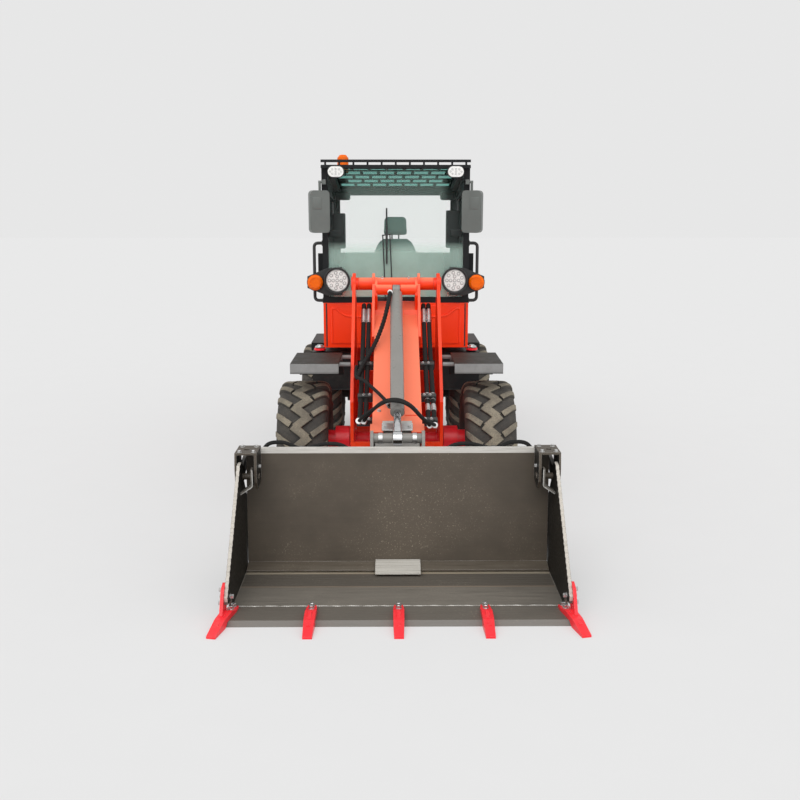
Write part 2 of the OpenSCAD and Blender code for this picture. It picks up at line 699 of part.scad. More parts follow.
// Front frame: tower, axle seat and steering lugs
lift_base = [0, boom_y + 200, 760];
lift_lug_s = 1350;
lift_slot = 62;
lift_lug_t = boom_drop + boom_h + 62;
lift_eye_y = boom_y - lift_lug_s * cos(boom_angle) + lift_lug_t * sin(boom_angle);
lift_eye_z = boom_pivot_z - lift_lug_s * sin(boom_angle) - lift_lug_t * cos(boom_angle);
steer_base = [330, 450, 560];
steer_eye = [240, -340, 560];
module front_frame() color(ORANGE) {
  difference() {
    union() {
      both_sides(tower_in, tower_w / 2) union() {
        translate([boom_y, boom_pivot_z]) circle(r = 85);
        polygon([
          [boom_y + 85, boom_pivot_z], [-440, 1000], [-400, 900], [-400, 480], [front_y + 260, 480], [front_y + 160, pad_z],
          [front_y - 160, pad_z], [front_y - 180, 470], [front_y - 300, 470], [front_y - 300, 820], [boom_y - 85, boom_pivot_z]
        ]);
      }
      // Pivot pin and its collars
      bar(-tower_w / 2 - 12, tower_w / 2 + 12, boom_y, boom_pivot_z, boom_pin_d);
      mirrored() bar(tower_w / 2, tower_w / 2 + 12, boom_y, boom_pivot_z, 110);
      mirrored() bar(300, tower_in, boom_y, boom_pivot_z, 100);
      // Rear wall and floor of the tower
      block([-tower_in, -440, 480], [tower_in, -415, 640]);
      block([-tower_in, front_y + 270, 480], [tower_in, -440, 505]);
      block([-tower_in, front_y - 300, 470], [tower_in, front_y - 275, 512]);
      // Steering lugs
      for (z = [steer_low_z, steer_high_z]) translate([0, 0, z - steer_lug_t / 2]) linear_extrude(steer_lug_t) difference() {
        union() {
          circle(d = 150);
          polygon([[-75, 0], [75, 0], [150, -200], [tower_in, -415], [-tower_in, -415], [-150, -200]]);
        }
        circle(d = steer_pin_d + 2 * run);
        // Slot for the lift cylinder's foot in the upper lug
        if (z == steer_high_z) translate([-lift_slot, -500]) square([2 * lift_slot, 250]);
      }
      block([-tower_in, -440, 380], [tower_in, -415, 480]);
      both_sides(tower_in, tower_w / 2) polygon([[-440, 380], [-440, 480], [-400, 480], [-400, 380]]);
      mirrored() block([lift_slot, -440, 640], [tower_in, -415, 900]);
      // Lugs of the lift cylinder on a web between the steering lugs
      block([-lift_slot, -262, steer_low_z], [lift_slot, -240, steer_high_z]);
      lug_rear = max(-250, lift_base[1] + 50);
      both_sides(34, lift_slot) polygon([
        [lift_base[1] - 58, lift_base[2] + 45], [lug_rear, lift_base[2] + 45], [lug_rear, lift_base[2] - 70],
        [lift_base[1] - 58, lift_base[2] - 45]
      ]);
      bar(-lift_slot, lift_slot, lift_base[1], lift_base[2], 50);
      // Lugs of the steering cylinders
      mirrored() for (z = [500, 600]) block([steer_eye[0] - 35, -416, z], [steer_eye[0] + 35, -300, z + 20]);
      mirrored() translate([steer_eye[0], steer_eye[1], 500]) cylinder(h = 20, d = 30);
    }
  }
}
module front_axle() color(RED) {
  translate([0, front_y, 0]) axle_shape();
  mirrored() block([tower_in - 10, front_y - 80, axle_z - 20], [tower_w / 2 + 10, front_y + 80, pad_z]);
}
fender_top = 1108;
module front_fenders() color(BLACK) {
  both_sides(fender_in, fender_out) fender_section(front_y, 300, 250, fender_top, 900);
  // Carrier tubes from the tower
  for (y = [front_y - 150, front_y + 200]) mirrored() bar(tower_w / 2, fender_in + 120, y, fender_top - fender_t - 18, 36);
}

// Steering cylinders
module steer_at(p, q) {
  d = q - p;
  translate(p) rotate([0, 0, atan2(d[1], d[0])]) rotate([0, 90, 0]) children();
}
steer_len = norm(steer_eye - steer_base);
steer_barrel_len = 530;
steer_piston_at = 278;
module steer_barrel() steer_at(steer_base, steer_eye) barrel(steer_barrel_len, steer_barrel_d, 36, 70, 76, 30);
module steer_rod() steer_at(steer_base, steer_eye) translate([0, 0, steer_len])
  piston_rod(steer_len - steer_piston_at, 36, 62, 72, steer_barrel_d - 18);
module steer_barrel_left() color(GREY) mirror([1, 0, 0]) steer_barrel();
module steer_rod_left() color(STEEL) mirror([1, 0, 0]) steer_rod();
module steer_barrel_right() color(GREY) steer_barrel();
module steer_rod_right() color(STEEL) steer_rod();

// Lift cylinder under the boom
lift_eye = [0, lift_eye_y, lift_eye_z];
lift_len = norm(lift_eye - lift_base);
lift_barrel_len = 1080;
lift_rod_d = 60;
module lift_barrel() color(GREY) towards(lift_base, lift_eye) barrel(lift_barrel_len, lift_barrel_d, lift_rod_d, 100, 56, 50);
module lift_rod() color(STEEL) towards(lift_base, lift_eye) translate([0, 0, lift_len])
  piston_rod(lift_len - 160, lift_rod_d, 90, 56, lift_barrel_d - 18);

// Boom: local frame with its origin at the pivot, -Y forward along the boom
module on_boom() {
  translate([0, boom_y, boom_pivot_z]) rotate([boom_angle, 0, 0]) children();
}
box_top = -boom_drop;
box_low = -boom_drop - boom_h;
tilt_base_s = 95;
module boom_outer() color(ORANGE) on_boom() {
  difference() {
    union() {
      across(-boom_w / 2, boom_w / 2) polygon([
        [-20, box_top + 20], [-20, box_top - 60], [-300, box_low], [-boom_reach, box_low], [-boom_reach, box_top], [-200, box_top], [-160, box_top + 20]
      ]);
      // Ear plates
      both_sides(boom_w / 2, boom_w / 2 + 20) union() {
        circle(r = 85);
        polygon([[85, 0], [50, box_top - 40], [-40, box_top - 110], [-470, box_top - 120], [-470, box_top - 30], [-230, -60], [-85, 40]]);
      }
      // Inner ear plates between the box and the bosses
      both_sides(boom_w / 2 - 20, boom_w / 2) polygon([[60, 0], [40, box_top + 1], [-160, box_top + 1], [-150, -20], [-95, 40], [0, 60]]);
      bar(-298, 298, 0, 0, 100);
      // Bosses of the tilt cylinder's pin
      mirrored() bar(34, boom_w / 2 - 10, -tilt_base_s, 0, 82);
      bar(-40, 40, -tilt_base_s, 0, 40);
      // Lift lugs under the box
      both_sides(34, 54) polygon([
        [-lift_lug_s + 140, box_low + 5], [-lift_lug_s + 50, -lift_lug_t - 50], [-lift_lug_s - 50, -lift_lug_t - 50], [-lift_lug_s - 140, box_low + 5]
      ]);
      // Collar round the front end
      difference() {
        across(-boom_w / 2 - 14, boom_w / 2 + 14) polygon([
          [-boom_reach, box_low - 14], [-boom_reach, box_top], [-boom_reach + 90, box_top], [-boom_reach + 90, box_low - 14]
        ]);
        across(-boom_w / 2, boom_w / 2) polygon([
          [-boom_reach - 1, box_low], [-boom_reach - 1, box_top + 1], [-boom_reach + 91, box_top + 1], [-boom_reach + 91, box_low]
        ]);
      }
    }
    bar(-300, 300, 0, 0, boom_pin_d + 2 * run);
    // Inside of the box
    across(-boom_w / 2 + boom_wall, boom_w / 2 - boom_wall) polygon([
      [-330, box_top - boom_wall], [-330, box_low + boom_wall], [-boom_reach - 1, box_low + boom_wall], [-boom_reach - 1, box_top - boom_wall]
    ]);
    // Notch in the top plate
    block([-95, -boom_reach - 1, box_top - boom_wall - 1], [95, -boom_reach + 60, box_top + 1]);
  }
}
// Wear pads that carry the inner boom
inner_w = boom_w - 2 * boom_wall - 2 * boom_gap;
inner_top = box_top - boom_wall - boom_gap;
inner_low = box_low + boom_wall + boom_gap;
pad_len = 90;
module boom_pads() color(STEEL) on_boom() {
  y0 = -boom_reach + 70;
  mirrored() {
    block([inner_w / 2 + run, y0, inner_low + 30], [boom_w / 2 - boom_wall, y0 + pad_len, inner_low + 110]);
    block([inner_w / 2 + run, y0, inner_top - 110], [boom_w / 2 - boom_wall, y0 + pad_len, inner_top - 30]);
    block([40, y0, box_low + boom_wall], [110, y0 + pad_len, inner_low - run]);
    block([40, y0, inner_top + run], [110, y0 + pad_len, box_top - boom_wall]);
  }
  // Pad holder bolted on the top plate
  block([-100, -boom_reach + 62, box_top], [100, -boom_reach + 110, box_top + 10]);
}
// Hydraulic hoses along both sides of the outer boom
hose_d = 30;
module boom_hoses() color(BLACK) on_boom() {
  for (side = [-1, 1]) for (k = [0, 1]) {
    x = side * (218 + 40 * k);
    hose(smooth([[x, -60, -215], [x, -110, -135], [x, -200, -140], [x, -420, -200], [x, -800, -245], [x, -1200, -250], [x, -1500, -235]], 4), hose_d);
  }
  // Clamps that hold them on the box
  for (s = [800, 1200, 1480]) mirrored() block([boom_w / 2, -s - 20, -275], [boom_w / 2 + 112, -s + 20, -215]);
}
// Tilt cylinder on top of the boom
tilt_len = tilt_reach - tilt_base_s;
tilt_barrel_len = 1595;
tilt_piston_at = 262;
tilt_rod_d = 50;
module tilt_barrel() color(GREY) on_boom() translate([0, -tilt_base_s, 0]) rotate([90, 0, 0])
  barrel(tilt_barrel_len, tilt_barrel_d, tilt_rod_d, 80, 56, 40);
module tilt_rod() color(STEEL) on_boom() translate([0, -tilt_reach, 0]) rotate([90, 0, 0])
  piston_rod(tilt_len - tilt_piston_at, tilt_rod_d, 92, 56, tilt_barrel_d - 18);

// Inner boom with the nose that carries the coupler
nose_s = tilt_reach + tilt_lever * sin(boom_angle);
nose_t = -tilt_lever * cos(boom_angle);
inner_rear_s = 360;
coupler_pin_d = 60;
module boom_inner() color(STEEL) on_boom() {
  difference() {
    across(-inner_w / 2, inner_w / 2) union() {
      translate([-nose_s, nose_t]) circle(r = 75);
      polygon([
        [-inner_rear_s, inner_top], [-nose_s + 110, inner_top], [-nose_s - 50, nose_t + 56],
        [-nose_s, nose_t - 75], [-nose_s + 60, inner_low], [-inner_rear_s, inner_low]
      ]);
    }
    // Hollow box
    across(-inner_w / 2 + boom_wall, inner_w / 2 - boom_wall) polygon([
      [-inner_rear_s + 1, inner_top - boom_wall], [-nose_s + 230, inner_top - boom_wall], [-nose_s + 230, inner_low + boom_wall], [-inner_rear_s + 1, inner_low + boom_wall]
    ]);
    // Fork of the nose
    across(-inner_w / 2 + 36, inner_w / 2 - 36) polygon([
      [-nose_s + 200, inner_top + 1], [-nose_s - 100, inner_top + 1], [-nose_s - 100, inner_low - 40], [-nose_s + 200, inner_low - 40]
    ]);
    bar(-inner_w, inner_w, -nose_s, nose_t, coupler_pin_d + 2 * run);
  }
}

// Quick coupler: two cheek plates, cross tube for the tilt rod and the carrier frame
cheek_in = inner_w / 2 + pass;
cheek_out = cheek_in + 20;
carrier_w = 920;
module coupler() color(GREY) {
  both_sides(cheek_in, cheek_out) union() {
    translate([tilt_y, tilt_z]) circle(r = 50);
    polygon([
      [coupler_y + 60, coupler_z - 30], [coupler_y + 50, tilt_z], [coupler_y - 50, tilt_z + 10],
      [coupler_face_y + 20, coupler_z + 190], [coupler_face_y + 20, coupler_z - 300], [coupler_y - 40, coupler_z - 140]
    ]);
  }
  mirrored() bar(32, cheek_in + 5, tilt_y, tilt_z, 64);
  bar(-cheek_out - 15, cheek_out + 15, coupler_y, coupler_z, coupler_pin_d);
  // Carrier plate with its window
  difference() {
    block([-carrier_w / 2, coupler_face_y, coupler_z - 310], [carrier_w / 2, coupler_face_y + 20, coupler_z + 190]);
    block([-110, coupler_face_y - 1, coupler_z - 200], [110, coupler_face_y + 21, coupler_z + 120]);
  }
  mirrored() block([carrier_w / 2 - 20, coupler_face_y + 20, coupler_z - 310], [carrier_w / 2, coupler_face_y + 80, coupler_z + 190]);
  bar(-carrier_w / 2 + 10, carrier_w / 2 - 10, coupler_face_y + 40, coupler_z + 155, 50);
}

// Bucket: fixed back with end brackets
side_in = bucket_w / 2 - 12 - 5 - side_t;
back_top_y = seam_y + 65;
clam_y = seam_y - 55;
clam_z = 640;
clam_pin_d = 40;
bracket_top = 800;
// Foot and rod eye of the cylinders behind the back's ends
clam_base = [0, seam_y + 125, 130];
clam_lever = [190, 60];
clam_eye = [0, clam_y + clam_lever[0], clam_z + clam_lever[1]];
clam_eye_w = 34;
clam_barrel_d = 56;
clam_x = side_in - 3 - clam_barrel_d / 2;
bracket_in = side_in - 96;
rib_x = clam_x - clam_barrel_d / 2 - 6 - 16;
rib_top = 320;
// Place of the back sheet's rear face at a height
function back_rear(z) = seam_y + 20 + skin_t + (back_top_y - seam_y - 20) * (z - 62) / (back_h - 62);
module bucket_back() color(DARK) {
  across(-side_in + 5, side_in - 5) polygon([
    [back_rear(62) - skin_t, 62], [back_rear(back_h) - skin_t, back_h], [back_rear(back_h), back_h], [back_rear(62), 62],
    [seam_y - 70, 30], [seam_y - 70, 38]
  ]);
  // Top bar
  block([-bracket_in, back_top_y, back_h - 1], [bracket_in, back_top_y + 45, back_h + 28]);
  // Ribs to the coupler
  for (x = [300, 420]) both_sides(x, x + 20) polygon([
    [back_rear(100) - 6, 100], [back_rear(640) - 6, 640], [coupler_face_y, coupler_z + 185], [coupler_face_y, coupler_z - 300]
  ]);
  // Wear plate at the seam's middle
  across(-140, 140) polygon([[seam_y + 15, 68], [seam_y + 15, 76], [seam_y - 140, 45], [seam_y - 140, 36], [seam_y - 60, 36]]);
  // End ribs with the pins of the cylinders' feet
  mirrored() {
    across(rib_x, rib_x + 16) polygon([
      [back_rear(80) - 6, 80], [clam_base[1] + 40, 80], [clam_base[1] + 40, 190], [clam_base[1] + 25, rib_top], [back_rear(rib_top) - 6, rib_top]
    ]);
    bar(rib_x, clam_x + clam_eye_w / 2, clam_base[1], clam_base[2], 30);
  }
  // End brackets: inner and outer plates, rear plate and top plate with its hole
  mirrored() {
    across(bracket_in, bracket_in + 16) bracket_outline();
    across(bucket_w / 2 - 12, bucket_w / 2) bracket_outline();
    block([bracket_in, back_top_y, back_h - 1], [side_in - 5, back_top_y + skin_t, bracket_top]);
    difference() {
      block([bracket_in, clam_y - 60, bracket_top - 12], [bucket_w / 2, back_top_y + skin_t, bracket_top]);
      translate([side_in - 25, clam_y + 30, 0]) cylinder(h = 2000, d = 36);
    }
    bar(bracket_in - 8, bucket_w / 2 + 8, clam_y, clam_z, clam_pin_d);
  }
}
module bracket_outline() polygon([
  [back_rear(600) - 6, 600], [clam_y - 20, clam_z - 75], [clam_y - 65, clam_z - 20], [clam_y - 75, clam_z + 60],
  [clam_y - 60, bracket_top], [back_top_y + skin_t, bracket_top], [back_rear(755), 754]
]);
module bucket_hoses() color(BLACK) {
  end_x = rib_x + 2;
  for (side = [-1, 1]) hose(smooth([
    [side * 240, back_top_y + 75, back_h - 90], [side * 330, back_top_y + 70, back_h + 20], [side * 450, back_top_y + 70, back_h + 40],
    [side * 600, back_top_y + 70, back_h + 10], [side * 720, back_top_y + 70, back_h + 50], [side * 830, back_top_y + 62, back_h + 20],
    [side * end_x, clam_base[1] - 10, back_h - 180], [side * end_x, clam_base[1], rib_top + 110],
    [side * end_x, clam_base[1], rib_top + 50], [side * end_x, clam_base[1], rib_top + 0.05]
  ], 3), 26, [0, 1, 0]);
  // Clamps on the top bar
  mirrored() for (x = [330, 600]) block([x - 16, back_top_y + 45, back_h - 2], [x + 16, back_top_y + 88, back_h + 26]);
}

// Clam: floor, cutting edge and serrated sides, hinged on the end brackets
saw_teeth = 22;
saw_depth = 11;
module clam_side() {
  foot = [lip_y + 78, 140];
  head = [clam_y - 100, clam_z + 92];
  run_on = head - foot;
  inward = [-run_on[1], run_on[0]] / norm(run_on);
  across_lever = [-clam_lever[1], clam_lever[0]] / norm(clam_lever);
  pin = [clam_y, clam_z];
  eye = pin + clam_lever;
  difference() {
    union() {
      translate(pin) circle(r = 62);
      translate(eye) circle(r = 36);
      polygon([pin + 55 * across_lever, eye + 34 * across_lever, eye - 34 * across_lever, pin - 55 * across_lever]);
      // Side plate with its saw-toothed front edge
      polygon(concat(
        [[seam_y - 10, 0], [lip_y + 222, 0], [lip_y + 222, 78], [lip_y + 90, 92]],
        [for (k = [0:2 * saw_teeth]) foot + run_on * k / (2 * saw_teeth) - inward * (k % 2) * saw_depth],
        [[clam_y - 40, clam_z + 100], [clam_y + 40, clam_z + 50], [clam_y + 45, clam_z - 40], [seam_y + 85, 480], [seam_y + 85, 96], [seam_y + 40, 50]]
      ));
    }
    circle_at(pin, clam_pin_d / 2 + run);
  }
}
module circle_at(p, r) translate(p) circle(r = r);
module edge_section() {
  edge_y = lip_y + 220;
  polygon([
    [lip_y, 0], [lip_y + 30, edge_t], [edge_y, edge_t], [edge_y, 20], [seam_y - 70, 20], [seam_y + 85, 38],
    [seam_y + 85, 22], [seam_y - 65, 0]
  ]);
}
module bucket_clam() color(DARK) {
  across(-side_in, side_in) edge_section();
  both_sides(side_in, side_in + side_t) clam_side();
  // Guard pockets inside the arms
  mirrored() translate([0, clam_y - 45, 0]) rotate([90, 0, 0]) linear_extrude(60) polygon([
    [bracket_in + 24, clam_z + 70], [bracket_in + 34, clam_z + 70], [bracket_in + 34, clam_z - 30], [side_in + 1, clam_z - 72],
    [side_in + 1, clam_z - 84], [bracket_in + 24, clam_z - 38]
  ]);
}
// Bolt-on teeth along the edge and side cutters at its corners
module tooth(nose = 2) {
  w = tooth_w / 2;
  back = lip_y + 205;
  intersection() {
    translate([0, 0, -1]) linear_extrude(200) polygon([
      [w - 7, back], [w, lip_y + 150], [w, lip_y + 10], [w - 5, tip_y], [5 - w, tip_y], [-w, lip_y + 10], [-w, lip_y + 150], [7 - w, back]
    ]);
    union() {
      across(-w, w) polygon([
        [back, edge_t], [back, edge_t + 14], [lip_y + 130, edge_t + 18], [lip_y + 90, edge_t + 34], [lip_y - 20, edge_t + 26],
        [tip_y, 12], [tip_y, 0], [lip_y - nose, 0], [lip_y - nose + 32, edge_t]
      ]);
      // Middle rib
      across(-10, 10) polygon([[lip_y + 80, edge_t + 20], [lip_y + 70, edge_t + 40], [lip_y - 70, edge_t + 16], [lip_y - 70, edge_t - 4]]);
    }
  }
}
corner_splay = 12;
module bucket_teeth() color(RED) {
  for (k = [-1:1]) translate([k * tooth_pitch, 0, 0]) tooth();
  // Corner teeth, splayed outwards, with a leg up the side plate
  mirrored() {
    translate([side_in - 10, lip_y + 170, 0]) rotate([0, 0, corner_splay]) translate([0, -lip_y - 170, 0]) tooth(14);
    across(side_in + side_t, side_in + side_t + 18) polygon([
      [lip_y + 200, 82], [lip_y + 160, 195], [lip_y + 95, 180], [lip_y + 15, 60], [lip_y + 15, 30], [lip_y + 120, 30]
    ]);
  }
}

// Clam cylinders, one in each end bracket
clam_len = norm(clam_eye - clam_base);
clam_barrel_len = 355;
module clam_barrels() color(BLACK) mirrored() translate([clam_x, 0, 0]) towards(clam_base, clam_eye)
  barrel(clam_barrel_len, clam_barrel_d, 28, 50, clam_eye_w, 30);
module clam_rods() color(STEEL) mirrored() translate([clam_x, 0, 0]) towards(clam_base, clam_eye) translate([0, 0, clam_len])
  {
    piston_rod(282, 28, 46, clam_eye_w, 38);
    // Pin towards the clam's lever
    rotate([0, 90, 0]) translate([0, 0, -clam_eye_w / 2 - 4]) cylinder(h = clam_eye_w / 2 + 4 + side_in - clam_x - 0.5, d = 26);
  }

// Wheels
// Tread: bars from the shoulder to the middle, in two staggered rows whose arrow points down in front
lugs_a_side = 18;
lug_slant = 30;
lug_w = 44;
lug_depth = 24;
module lug() {
  half = tyre_w / 2;
  top = tyre_d / 2 - 5.5;
  translate([half - 90, 0, 0]) rotate([0, 0, lug_slant]) rotate([90, 0, 0]) linear_extrude(lug_w, center = true) polygon([
    [-107, top - 50], [-107, top], [50, top], [97, top - 38], [92, top - 75], [60, top - 75]
  ]);
}
module tyre() color(BLACK) {
  w = tyre_w / 2;
  r = tyre_d / 2;
  rotate([0, 90, 0]) rotate_extrude($fn = 96) polygon([
    [rim_d / 2, -w + 50], [rim_d / 2 + 60, -w + 8], [r - 110, -w], [r - 62, -w + 7], [r - lug_depth - 10, -w + 28], [r - lug_depth, -w + 70],
    [r - lug_depth, w - 70], [r - lug_depth - 10, w - 28], [r - 62, w - 7], [r - 110, w], [rim_d / 2 + 60, w - 8], [rim_d / 2, w - 50],
    [rim_d / 2, w - 90], [rim_d / 2 + 70, w - 34], [r - 110, w - 26], [r - 60, w - 60],
    [r - 60, 60 - w], [r - 110, 26 - w], [rim_d / 2 + 70, 34 - w], [rim_d / 2, 90 - w]
  ]);
  for (k = [0:lugs_a_side - 1]) {
    rotate([k * 360 / lugs_a_side, 0, 0]) mirror([1, 0, 0]) lug();
    rotate([(k + 0.5) * 360 / lugs_a_side, 0, 0]) lug();
  }
}
hub_face = 40;
pilot_r = 110;
module rim() color(STEEL) rotate([0, 90, 0]) difference() {
  rotate_extrude($fn = 96) polygon([
    [rim_d / 2 - run, -tyre_w / 2 + 40], [rim_d / 2 - run, tyre_w / 2 - 40], [rim_d / 2 - 14, tyre_w / 2 - 40],
    [rim_d / 2 - 30, hub_face + 40], [160, hub_face + 14], [pilot_r, hub_face + 14], [pilot_r, hub_face], [165, hub_face],
    [rim_d / 2 - 30, hub_face - 10], [rim_d / 2 - 30, -tyre_w / 2 + 60], [rim_d / 2 - 14, -tyre_w / 2 + 40]
  ]);
  for (k = [0:7]) rotate([0, 0, k * 45]) translate([bolt_circle_d / 2, 0, 0]) cylinder(h = 200, d = 22);
}
module wheel_at(side, y) translate([side * track / 2, y, axle_z]) scale_side(side) children();
module scale_side(side) if (side < 0) mirror([1, 0, 0]) children(); else children();
module tyre_front_left() wheel_at(-1, front_y) tyre();
module rim_front_left() wheel_at(-1, front_y) rim();
module tyre_front_right() wheel_at(1, front_y) tyre();
module rim_front_right() wheel_at(1, front_y) rim();
module tyre_rear_left() wheel_at(-1, rear_y) tyre();
module rim_rear_left() wheel_at(-1, rear_y) rim();
module tyre_rear_right() wheel_at(1, rear_y) tyre();
module rim_rear_right() wheel_at(1, rear_y) rim();

placed() rear_frame();
placed() rear_axle();
placed() engine();
placed() side_tanks();
placed() rear_fenders();
placed() counterweight();
placed() tail_lamps();
placed() cab_base();
placed() cab_posts();
placed() cab_panels();
placed() cab_roof();
placed() roof_guard();
placed() cab_glass();
placed() seat();
placed() controls();
placed() lamp_housings();
placed() lamp_lenses();
placed() indicators();
placed() mirrors();
placed() handrails();
placed() wiper();
placed() exhaust();
placed() door_left();
placed() door_left_glass();
placed() door_right();
placed() door_right_glass();
placed() hood();
placed() front_frame();
placed() front_axle();
placed() front_fenders();
placed() steer_barrel_left();
placed() steer_rod_left();
placed() steer_barrel_right();
placed() steer_rod_right();
placed() lift_barrel();
placed() lift_rod();
placed() boom_outer();
placed() boom_pads();
placed() boom_hoses();
placed() tilt_barrel();
placed() boom_inner();
placed() tilt_rod();
placed() coupler();
placed() bucket_back();
placed() bucket_hoses();
placed() bucket_clam();
placed() bucket_teeth();
placed() clam_barrels();
placed() clam_rods();
placed() tyre_front_left();
placed() rim_front_left();
placed() tyre_front_right();
placed() rim_front_right();
placed() tyre_rear_left();
placed() rim_rear_left();
placed() tyre_rear_right();
placed() rim_rear_right();
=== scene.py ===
import math

import bmesh
import bpy
from mathutils import Matrix, Vector


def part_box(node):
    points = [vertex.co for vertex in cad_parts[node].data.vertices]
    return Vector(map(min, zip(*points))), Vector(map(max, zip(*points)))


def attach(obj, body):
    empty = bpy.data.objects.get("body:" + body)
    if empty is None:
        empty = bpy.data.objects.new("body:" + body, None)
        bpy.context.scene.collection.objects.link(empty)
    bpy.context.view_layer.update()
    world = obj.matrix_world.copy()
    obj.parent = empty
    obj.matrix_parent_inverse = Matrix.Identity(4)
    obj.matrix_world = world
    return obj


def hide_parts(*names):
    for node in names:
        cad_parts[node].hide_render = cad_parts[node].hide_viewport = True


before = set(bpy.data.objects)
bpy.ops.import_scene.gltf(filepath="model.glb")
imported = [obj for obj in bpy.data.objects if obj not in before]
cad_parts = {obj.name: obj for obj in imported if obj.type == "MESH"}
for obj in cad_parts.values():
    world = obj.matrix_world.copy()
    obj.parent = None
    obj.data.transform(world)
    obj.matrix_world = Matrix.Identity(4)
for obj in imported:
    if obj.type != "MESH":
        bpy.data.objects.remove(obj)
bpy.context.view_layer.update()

# Studio: a pale floor that runs out into a backdrop of the same grey, an even sky and two broad soft lamps.
# The camera stands in front of the bucket a little above head height and looks down the boom.
scene = bpy.context.scene
scene.view_settings.view_transform = "Standard"


class Tone:
    """One socket of a shader tree, on which Python's own operators add Math nodes."""

    def __init__(self, tree, socket=None):
        self.tree = tree
        self.socket = socket

    def node(self, kind, settings, sockets, out=0):
        """A new node of that kind, with its settings first and then the values or links of its sockets."""
        made = self.tree.nodes.new("ShaderNode" + kind)
        for name, value in settings.items():
            setattr(made, name, value)
        for name, value in sockets.items():
            if isinstance(value, Tone):
                self.tree.links.new(value.socket, made.inputs[name])
            else:
                made.inputs[name].default_value = value
        return Tone(self.tree, made.outputs[out])

    def math(self, operation, left, right):
        return self.node("Math", {"operation": operation}, {0: left, 1: right})

    def __add__(self, other):
        return self.math("ADD", self, other)

    __radd__ = __add__

    def __sub__(self, other):
        return self.math("SUBTRACT", self, other)

    def __rsub__(self, other):
        return self.math("SUBTRACT", other, self)

    def __mul__(self, other):
        return self.math("MULTIPLY", self, other)

    __rmul__ = __mul__

    def span(self, low, high, start=0.0, end=1.0):
        """Carries the range from low to high over to start and end, and holds at both."""
        ends = {"From Min": low, "From Max": high, "To Min": start, "To Max": end}
        return self.node("MapRange", {"clamp": True}, {"Value": self, **ends})

    def mix(self, under, over):
        """The colour under, covered by this share of the colour over."""
        under, over = [c if isinstance(c, Tone) else (*c, 1) for c in (under, over)]
        return self.node("Mix", {"data_type": "RGBA"}, {0: self, 6: under, 7: over}, out=2)

    def axis(self, number):
        return self.node("SeparateXYZ", {}, {0: self}, out=number)

    def noise(self, scale, detail, rough=0.5):
        sockets = {"Vector": self.place, "Scale": scale, "Detail": detail, "Roughness": rough}
        return self.node("TexNoise", {}, sockets)

    def feed(self, socket):
        """Links to a socket, or to one of the material's own shader by its name."""
        if isinstance(socket, str):
            socket = self.tree.nodes["Principled BSDF"].inputs[socket]
        self.tree.links.new(self.socket, socket)

    def hold(self, values):
        """Sets what is the same all over the surface."""
        for name, value in values.items():
            self.tree.nodes["Principled BSDF"].inputs[name].default_value = value

    def bump(self, height, strength, distance, under=None):
        sockets = {"Strength": strength, "Distance": distance, "Height": height}
        if under is not None:
            sockets["Normal"] = under
        self.node("Bump", {}, sockets).feed("Normal")


def finish(name):
    """A new material, and a tone of its tree that knows the place its patterns follow."""
    material = bpy.data.materials.new(name)
    material.use_nodes = True
    tone = Tone(material.node_tree)
    tone.place = tone.node("TexCoord", {}, {}, out="Object")
    return material, tone


def own_shader(tone):
    return Tone(tone.tree, tone.tree.nodes["Principled BSDF"].outputs[0])


def seen_directly(tone):
    """1 for a ray that shows the backdrop straight, mirrored or through glass, and 0 for its light."""
    kinds = ("Is Camera Ray", "Is Glossy Ray", "Is Transmission Ray")
    straight, mirrored, through = [tone.node("LightPath", {}, {}, out=kind) for kind in kinds]
    return (straight + mirrored + through).span(0, 1)


backdrop_grey = (0.80, 0.80, 0.80, 1)
sky_strength = 0.80
sky = bpy.data.worlds.new("studio_sky")
sky.use_nodes = True
air = Tone(sky.node_tree)
lit = air.node("Background", {}, {"Color": (1, 1, 1, 1), "Strength": sky_strength})
shown = air.node("Background", {}, {"Color": backdrop_grey, "Strength": 1.0})
both = air.node("MixShader", {}, {0: seen_directly(air), 1: lit, 2: shown})
both.feed(sky.node_tree.nodes["World Output"].inputs["Surface"])
scene.world = sky

for lamp_name, strength, spread, turn in (
    ("key_lamp", 1.15, 50, (42, 6, -28)),
    ("fill_lamp", 0.70, 80, (66, 0, 24)),
):
    lamp = bpy.data.objects.new(lamp_name, bpy.data.lights.new(lamp_name, "SUN"))
    lamp.data.energy = strength
    lamp.data.angle = math.radians(spread)
    lamp.rotation_euler = [math.radians(a) for a in turn]
    scene.collection.objects.link(lamp)

floor_half = 60
floor_pale = (0.72, 0.72, 0.72)
floor_dim = (0.70, 0.70, 0.70)
floor_share = 0.45
floor_corners = [(x * floor_half, y * floor_half, 0) for x, y in ((-1, -1), (1, -1), (1, 1), (-1, 1))]
floor_mesh = bpy.data.meshes.new("studio_floor")
floor_mesh.from_pydata(floor_corners, [], [(0, 1, 2, 3)])
studio_floor = bpy.data.objects.new("studio_floor", floor_mesh)
scene.collection.objects.link(studio_floor)
paper, tone = finish("floor_paper")
fibre = tone.node("TexNoise", {}, {"Scale": 400.0, "Detail": 2.0})
fibre.mix(floor_dim, floor_pale).feed("Base Color")
tone.hold({"Roughness": 1.0, "Specular IOR Level": 0.0})
glow = tone.node("Emission", {}, {"Color": backdrop_grey, "Strength": 1.0})
paper_mix = tone.node("MixShader", {}, {0: seen_directly(tone) * floor_share, 1: own_shader(tone), 2: glow})
paper_mix.feed(tone.tree.nodes["Material Output"].inputs["Surface"])
floor_mesh.materials.append(paper)

